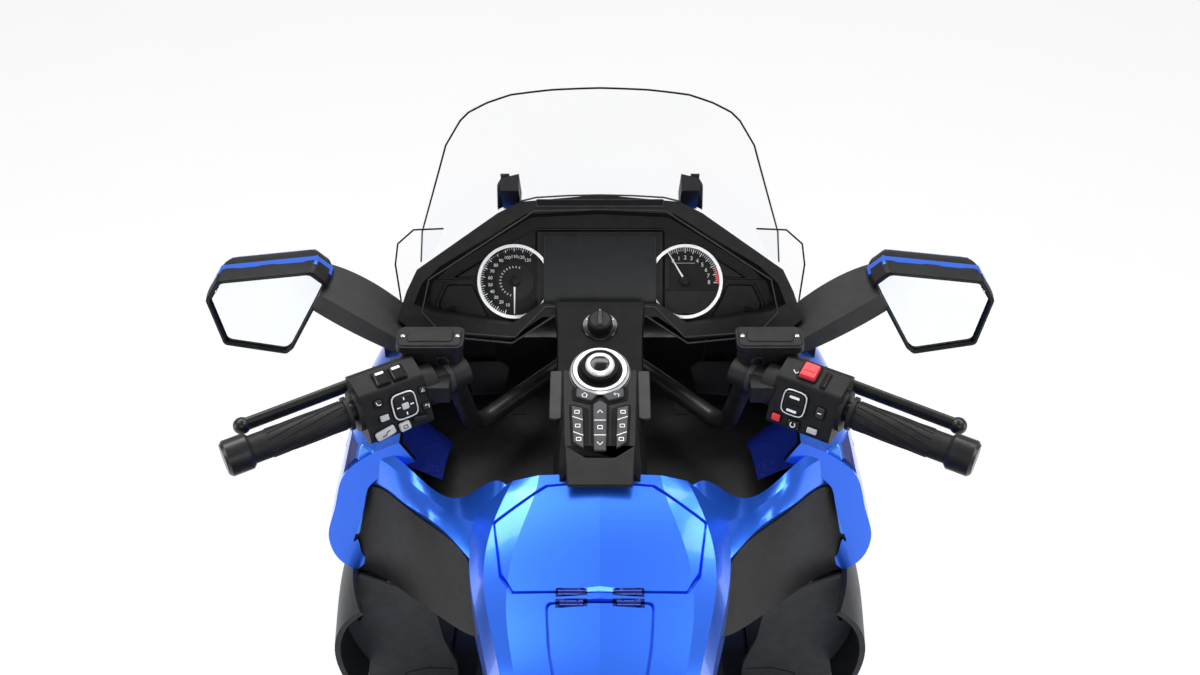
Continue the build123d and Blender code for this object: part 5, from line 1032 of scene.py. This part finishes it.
def build_cockpit_sides():
    pierced = mesh_cloth()
    for side, word in SIDES:
        plane = facing_rear((0, 466, 0))
        panel = [(-193.5, 939), (-146, 939), (-133.4, 928), (-142.6, 880), (-193.5, 876)]
        shape = handed(panel, side)
        plate("speaker_mesh_" + word, plane, rounded(shape, 4), -2, 2, pierced, bevel=0.8)
        line("speaker_edge_" + word, plane, rounded(shape, 4), 1.4, BLACK, w=1.4, closed=True)
        wall = [
            sided(((208.8, 472, 964.4), (219, 472, 918.6), (226, 472, 856.5)), side),
            sided(((291.4, 446, 964), (297.5, 446, 907), (301.6, 446, 856)), side),
        ]
        strip_shell("cockpit_wall_" + word, wall, (0, 600, 900), BLACK, bevel=0.5)


build_mirrors()
build_screen()
build_flanges()
build_cockpit_sides()


# ---------------------------------------------------------------- seat and backrest
VOXEL = 7 * MM
PAD_FRAMES = 20


def cushion(name, node_name, shrink, cap):
    """A padded copy of a soft node: remeshed, swollen by cloth pressure and capped, in the node's place."""
    node = NODES[node_name]
    mesh = node.data.copy()
    pad = bpy.data.objects.new(name, mesh)
    pad.matrix_world = node.matrix_world.copy()
    bpy.context.scene.collection.objects.link(pad)
    mesh.materials.clear()
    remesh = pad.modifiers.new("voxels", "REMESH")
    remesh.mode = "VOXEL"
    remesh.voxel_size = VOXEL
    remesh.use_smooth_shade = True
    soften = pad.modifiers.new("soften", "SMOOTH")
    soften.factor = 0.5
    soften.iterations = 6
    graph = bpy.context.evaluated_depsgraph_get()
    start = bpy.data.meshes.new_from_object(pad.evaluated_get(graph))
    pad.modifiers.clear()
    pad.data = start
    for vertex in start.vertices:
        vertex.co -= vertex.normal * shrink * MM
    rest = [vertex.co.copy() for vertex in start.vertices]
    held = pad.vertex_groups.new(name="held")
    lowest = min(co.z for co in rest)
    for index, co in enumerate(rest):
        if start.vertices[index].normal.z < -0.4 or co.z < lowest + 12 * MM:
            held.add([index], 1.0, "REPLACE")
    cloth = pad.modifiers.new("swell", "CLOTH")
    settings = cloth.settings
    settings.quality = 4
    settings.use_pressure = True
    settings.uniform_pressure_force = 4.0
    settings.effector_weights.gravity = 0.0
    settings.vertex_group_mass = held.name
    scene = bpy.context.scene
    for step in range(1, PAD_FRAMES + 1):
        scene.frame_set(step)
    graph = bpy.context.evaluated_depsgraph_get()
    swollen = bpy.data.meshes.new_from_object(pad.evaluated_get(graph))
    pad.modifiers.clear()
    for vertex, before in zip(swollen.vertices, rest):
        move = vertex.co - before
        if move.length > cap * MM:
            vertex.co = before + move.normalized() * cap * MM
    pad.data = swollen
    pad.vertex_groups.clear()
    scene.frame_set(1)
    finer = pad.modifiers.new("finer", "SUBSURF")
    finer.levels = finer.render_levels = 1
    on_body(pad, SEAT, smooth_angle=60)
    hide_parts(node_name)
    return pad


def dropped(pad, starts, toward, lift=0.6):
    """Where rays from points in millimetres meet a pad, drawn back a little."""
    tree = BVHTree.FromObject(pad, bpy.context.evaluated_depsgraph_get())
    hits = [tree.ray_cast(Vector(start) * MM, Vector(toward))[0] for start in starts]
    return [hit - Vector(toward) * lift * MM for hit in hits if hit is not None]


def over(pad, points):
    """A line of (x, y) points dropped on to a pad's top."""
    return dropped(pad, [(x, y, 2000) for x, y in fine(points, 4)], (0, 0, -1))


def against(pad, points):
    """A line of (x, z) points pushed back on to a pad's front."""
    return dropped(pad, [(x, -300, z) for x, z in fine(points, 4)], (0, -1, 0))


def build_seat():
    seat = cushion("seat_cushion", "seat", 3.0, 6.0)
    rider = whole([(-128, -400), (-132, -330), (-96, -240), (-62, -190), (0, -180)])
    rider += [(0, -412), rider[0]]
    passenger = whole([(-128, -520), (-136, -620), (-112, -740), (0, -752)])
    passenger += [(0, -508), passenger[0]]
    for name, shape in (("rider_seam", rider), ("passenger_seam", passenger)):
        tube(name, over(seat, shape), 1.5, SEAM)
    for index, y in enumerate((-262, -306, -350)):
        tube("rider_channel_%d" % index, over(seat, [(-88, y), (0, y - 8), (88, y)]), 1.3, SEAM)
    for index, y in enumerate((-570, -628, -686)):
        tube("passenger_channel_%d" % index, over(seat, [(-100, y), (0, y - 6), (100, y)]), 1.3, SEAM)
    rest = cushion("backrest_cushion", "backrest", 3.0, 6.0)
    shape = whole([(-104, 900), (-100, 1040), (0, 1050)])
    shape += [(0, 892), shape[0]]
    tube("backrest_seam", against(rest, shape), 1.5, SEAM)
    for index, z in enumerate((935, 972, 1008)):
        tube("backrest_channel_%d" % index, against(rest, [(-92, z), (0, z + 4), (92, z)]), 1.3, SEAM)


build_seat()


# ---------------------------------------------------------------- wheels, engine, tail
FRONT_AXLE, REAR_AXLE = (967.5, 320.0), (-727.5, 338.0)
FRONT_R, REAR_R = 320.0, 313.0
HEAD_FACE_X = 385.0
COVER_FACE_X = 180.0
TIP_Y = -1136.0


def build_tread(name, node_name, axle, outer, half, count, body):
    """Dark lines over a tyre's crown, painted shade standing in for its grooves: two round it, and slanted
    pairs between.
    """
    node = NODES[node_name]
    tree = BVHTree.FromObject(node, bpy.context.evaluated_depsgraph_get())
    y0, z0 = axle

    def reach(x):
        back = node.matrix_world.inverted()
        hit = tree.ray_cast(back @ (Vector((x, y0, z0 + outer * 1.4)) * MM), Vector((0, 0, -1)))
        return (node.matrix_world @ hit[0]).z / MM - z0 if hit[0] is not None else outer

    steps = [i / 8 for i in range(-8, 9)]
    profile = {round(share, 3): reach(share * half) for share in steps}

    def spot(share, angle):
        low = math.floor(share * 8) / 8
        high = min(1.0, low + 0.125)
        t = (share - low) * 8
        radius = profile[round(low, 3)] * (1 - t) + profile[round(high, 3)] * t - 0.9
        a = math.radians(angle)
        return Vector((share * half, y0 + radius * math.sin(a), z0 + radius * math.cos(a))) * MM

    lines = []
    for side in (-1, 1):
        lines.append([spot(0.16 * side, angle) for angle in range(0, 361, 4)])
        for index in range(count):
            angle = 360 * index / count + (180 / count if side > 0 else 0)
            lines.append([spot(side * (0.24 + 0.62 * k / 6), angle + 11 * k / 6) for k in range(7)])
    tubes(name, lines, 1.3, SOFT_BLACK, body)


def bolts(name, place, spots, radius, height, material, body=ROOT):
    """Six-sided bolt heads on washers, in one mesh."""
    vertices, faces = [], []
    for u, v in spots:
        for grow, w0, w1, count in ((1.35, 0.0, height * 0.25, 16), (1.0, height * 0.25, height, 6)):
            first = len(vertices)
            for w in (w0, w1):
                for i in range(count):
                    a = 2 * math.pi * i / count
                    vertices.append(place.at(u + radius * grow * math.cos(a),
                        v + radius * grow * math.sin(a), w))
            faces.append(tuple(first + count + i for i in range(count)))
            for i in range(count):
                a, b = first + i, first + (i + 1) % count
                faces.append((a, b, b + count, a + count))
            faces.append(tuple(first + i for i in reversed(range(count))))
    return on_body(facing_out(new_object(name, vertices, faces)), material, body)


def ring_spots(radius, count, start=0.0):
    return [clockwise(radius, start + 360 * i / count) for i in range(count)]


def build_wheels():
    build_tread("front_tread", "front_tyre", FRONT_AXLE, FRONT_R, 62, 26, "front_wheel")
    build_tread("rear_tread", "rear_tyre", REAR_AXLE, REAR_R, 92, 24, "rear_wheel")
    for word, x, axle, body in (
        ("front_left", -78.6, FRONT_AXLE, "front_wheel"),
        ("front_right", 78.6, FRONT_AXLE, "front_wheel"),
        ("rear", -86.6, REAR_AXLE, "rear_wheel"),
    ):
        side = 1 if x > 0 else -1
        face = facing_aside(side, (x, *axle))
        rays = []
        for ring, radius in enumerate((131, 141, 151)):
            for index in range(24):
                rays.append((15 * index + 5 * ring, radius - 2.2, radius + 2.2, 4.4))
        marks("disc_holes_" + word, face, rays, -0.2, 0.3, SOFT_BLACK, body)
        bolts("disc_bolts_" + word, face, ring_spots(64, 5, 18), 4.5, 4.0, STEEL, body)


def build_engine():
    cover = rounded([(-168, -50), (168, -50), (168, 50), (-168, 50)], 22)
    fin = box_outline(270, 6, 2.5)
    rim = [(60, -1), (60, 2.4), (64, 3.4), (74, 3.4), (77, 1.0), (77, -1)]
    cap = [(0, 4.0), (20, 3.6), (24, 1.6), (24, -1)]
    for side, word in SIDES:
        face = facing_aside(side, (side * HEAD_FACE_X, 320, 385))
        frame_band("head_cover_rib_" + word, face, cover, 5.0, -0.6, 2.2, ALLOY, bevel=0.8)
        for index, v in enumerate((-24, 0, 24)):
            plate("head_cover_fin_%s_%d" % (word, index), face.moved(0, v), fin, -0.6, 2.0, ALLOY,
                bevel=0.8)
        spots = [(u, v) for u in (-150, -50, 50, 150) for v in (-40, 40)]
        bolts("head_bolts_" + word, face, spots, 4.4, 2.6, STEEL)
        face = facing_aside(side, (side * COVER_FACE_X, 30, 330))
        turned_form("side_cover_rim_" + word, face, rim, ALLOY, segments=56)
        bolts("side_cover_bolts_" + word, face, ring_spots(69, 8), 4.2, 6.0, STEEL)
        turned_form("side_cover_cap_" + word, face, cap, ALLOY, segments=40)


def build_tail():
    tip = [(19.5, -8), (19.5, 0.0), (21.5, 1.4), (24.4, 1.4), (24.4, -3)]
    for side, word in SIDES:
        for index, x in enumerate((232, 298)):
            place = facing_rear((side * x, TIP_Y, 276))
            turned_form("exhaust_tip_%s_%d" % (word, index), place, tip, CHROME, segments=40)
            bore = [(0, 0.5), (19.8, 0.5)]
            turned_form("exhaust_bore_%s_%d" % (word, index), place, bore, SOFT_BLACK, segments=40)


build_wheels()
build_engine()
build_tail()


# ---------------------------------------------------------------- body trim
def side_trace(name, node_name, outline, radius, material, body=ROOT):
    """The same line of (y, z) points traced on both flanks of a node."""
    for side, word in SIDES:
        starts = [(side * ASIDE, y, z) for y, z in fine(outline, 8)]
        traced_line(name + "_" + word, node_name, starts, (-side, 0, 0), 0.2, radius, material, body)


def build_lamps():
    low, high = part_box("headlamps")
    low, high = Vector(low) / MM, Vector(high) / MM
    middle_z, height = (low.z + high.z) / 2, high.z - low.z
    for side, word in SIDES:
        reach = high.x
        for index, share in enumerate((0.36, 0.62)):
            centre = (side * reach * share, middle_z)
            for ring, radius in enumerate((height * 0.30, height * 0.19)):
                circle = [(centre[0] + u, 1400, centre[1] + v) for u, v in arc_points(radius, 0, 360, 28)]
                traced_line("lamp_ring_%s_%d_%d" % (word, index, ring), "headlamps", circle, (0, -1, 0),
                    0.3, 1.8 - ring * 0.5, CHROME if ring == 0 else GREY)


def build_body_lines():
    # The dark crease lines are painted shade along the fairing's crease.
    side_trace("fairing_crease", "side_fairings", [(690, 905), (600, 900), (480, 872), (380, 850)], 1.0,
        SOFT_BLACK)
    for index in range(3):
        start = [(600 - index * 14, 852 - index * 22), (470 - index * 14, 818 - index * 22)]
        side_trace("fairing_vent_%d" % index, "side_fairings", start, 2.6, SOFT_BLACK)
    for side, word in SIDES:
        bag, lid = "saddlebag_" + word, "saddlebag_lid_" + word
        rail = [(side * ASIDE, y, z) for y, z in fine([(-1080, 470), (-620, 470)], 10)]
        traced_line("bag_rail_" + word, bag, rail, (-side, 0, 0), 0.2, 2.2, GLOSS_BLACK)
        # Painted shade along the lid's crease.
        crease = [(side * ASIDE, y, z) for y, z in fine([(-1100, 610), (-900, 622), (-620, 612)], 10)]
        traced_line("bag_crease_" + word, lid, crease, (-side, 0, 0), 0.2, 0.9, SOFT_BLACK, lid)
    latch = [(x, BEHIND, 1000) for x in range(-60, 61, 10)]
    traced_line("trunk_latch", "trunk_lid", latch, AHEAD, 0.5, 5.0, GLOSS_BLACK, "trunk_lid")
    # Painted shade along the trunk lid's crease.
    top = [(x, -1080, 1400) for x in range(-200, 201, 8)]
    traced_line("trunk_crease", "trunk_lid", top, (0, 0, -1), 0.2, 0.9, SOFT_BLACK, "trunk_lid")
    for side, word in SIDES:
        # Painted shade along the fender's creases.
        fender = sided(fine([(34, 1180), (42, 1080), (44, 960), (40, 860)], 8), side)
        starts = [(x, y, 1000) for x, y in fender]
        traced_line("fender_crease_" + word, "front_fender", starts, (0, 0, -1), 0.2, 0.9, SOFT_BLACK,
            STEER)


def build_grips():
    for side, word in SIDES:
        start, end = Vector((310.0 * side, 215, 1062)), Vector((452.0 * side, 135.6, 1055.5))
        along = (end - start).normalized()
        rear = Vector((0, 0, 1)).cross(along).normalized()
        place = Place(start, rear, along.cross(rear), along)
        lines = []
        for index in range(14):
            points = []
            for step in range(13):
                angle = math.radians(360 * index / 14 + 46 * step / 12 * side)
                points.append(place.at(18.1 * math.cos(angle), 18.1 * math.sin(angle), 12 + 96 * step / 12))
            lines.append(points)
        tubes("grip_ribs_" + word, lines, 0.9, RUBBER, STEER)
        flange = [(17.5, 3), (21, 3.6), (21.6, 5), (21, 6.8), (17.5, 7.6)]
        turned_form("grip_flange_" + word, place, flange, RUBBER, STEER, 40)


build_lamps()
build_body_lines()
build_grips()


# ---------------------------------------------------------------- stage, light, camera
CAMERA_AT = (0.0, -0.961, 2.099)
CAMERA_DOWN = math.radians(38.0)
CAMERA_LENS = 37.5


def seen_straight(nodes, links):
    """1 on rays from the camera and through glass, and 0 on all others."""
    path = nodes.new("ShaderNodeLightPath").outputs
    return reckoned(nodes, links, NUMBER, "MAXIMUM", path["Is Camera Ray"], path["Is Transmission Ray"])[0]


def blended(nodes, links, share, first, second, end):
    """Gives an output node the first shader, and the second by that share."""
    mix = nodes.new("ShaderNodeMixShader")
    for term, place in zip((share, first.outputs[0], second.outputs[0]), mix.inputs):
        links.new(term, place)
    links.new(mix.outputs[0], end.inputs["Surface"])


def backdrop_material(name, share):
    """White to the camera and through glass, and still shaded a little by the object."""
    material, nodes, links, shader = new_material(name)
    links.new(speckle(nodes, links, 3.0, (0.86, 0.86, 0.86), (0.9, 0.9, 0.9)), shader.inputs["Base Color"])
    shader.inputs["Roughness"].default_value = 0.9
    glow = nodes.new("ShaderNodeEmission")
    glow.inputs["Color"].default_value = (1, 1, 1, 1)
    shown = reckoned(nodes, links, NUMBER, "MULTIPLY", seen_straight(nodes, links), share)[0]
    blended(nodes, links, shown, shader, glow, nodes["Material Output"])
    return material


def build_stage():
    floor = new_object("floor", [(-14, -14, 0), (14, -14, 0), (14, 14, 0), (-14, 14, 0)], [(0, 1, 2, 3)])
    floor.data.materials.append(backdrop_material("pale floor", 0.86))
    world = bpy.data.worlds.new("studio")
    world.use_nodes = True
    nodes, links = world.node_tree.nodes, world.node_tree.links
    lit = nodes["Background"]
    lit.inputs["Color"].default_value = (0.96, 0.98, 1.0, 1)
    lit.inputs["Strength"].default_value = 0.42
    shown = nodes.new("ShaderNodeBackground")
    shown.inputs["Color"].default_value = (1, 1, 1, 1)
    shown.inputs["Strength"].default_value = 1.0
    blended(nodes, links, seen_straight(nodes, links), lit, shown, nodes["World Output"])
    bpy.context.scene.world = world
    bpy.context.scene.view_settings.view_transform = "Standard"
    for name, at, size, power in (
        ("key", (-1.6, 0.9, 3.6), (2.2, 1.4), 60),
        ("fill", (1.7, 0.6, 3.4), (1.8, 1.4), 42),
        ("top", (0.0, 1.9, 3.2), (2.6, 0.7), 45),
        ("rear", (0.4, -3.2, 2.6), (2.2, 1.2), 46),
        ("left", (-3.6, -0.4, 1.3), (1.4, 1.8), 36),
        ("right", (3.6, -0.4, 1.3), (1.4, 1.8), 36),
    ):
        data = bpy.data.lights.new(name, "AREA")
        data.shape = "RECTANGLE"
        data.size, data.size_y = size
        data.energy = power
        lamp = bpy.data.objects.new(name, data)
        lamp.location = at
        lamp.rotation_euler = (Vector((0, 0.1, 0.8)) - Vector(at)).to_track_quat("-Z", "Y").to_euler()
        bpy.context.scene.collection.objects.link(lamp)


def build_camera():
    data = bpy.data.cameras.new("camera")
    data.lens = CAMERA_LENS
    data.sensor_width = 36.0
    camera = bpy.data.objects.new("camera", data)
    camera.location = CAMERA_AT
    camera.rotation_euler = (math.pi / 2 - CAMERA_DOWN, 0, 0)
    bpy.context.scene.collection.objects.link(camera)
    bpy.context.scene.camera = camera


dress_nodes()
build_stage()
build_camera()
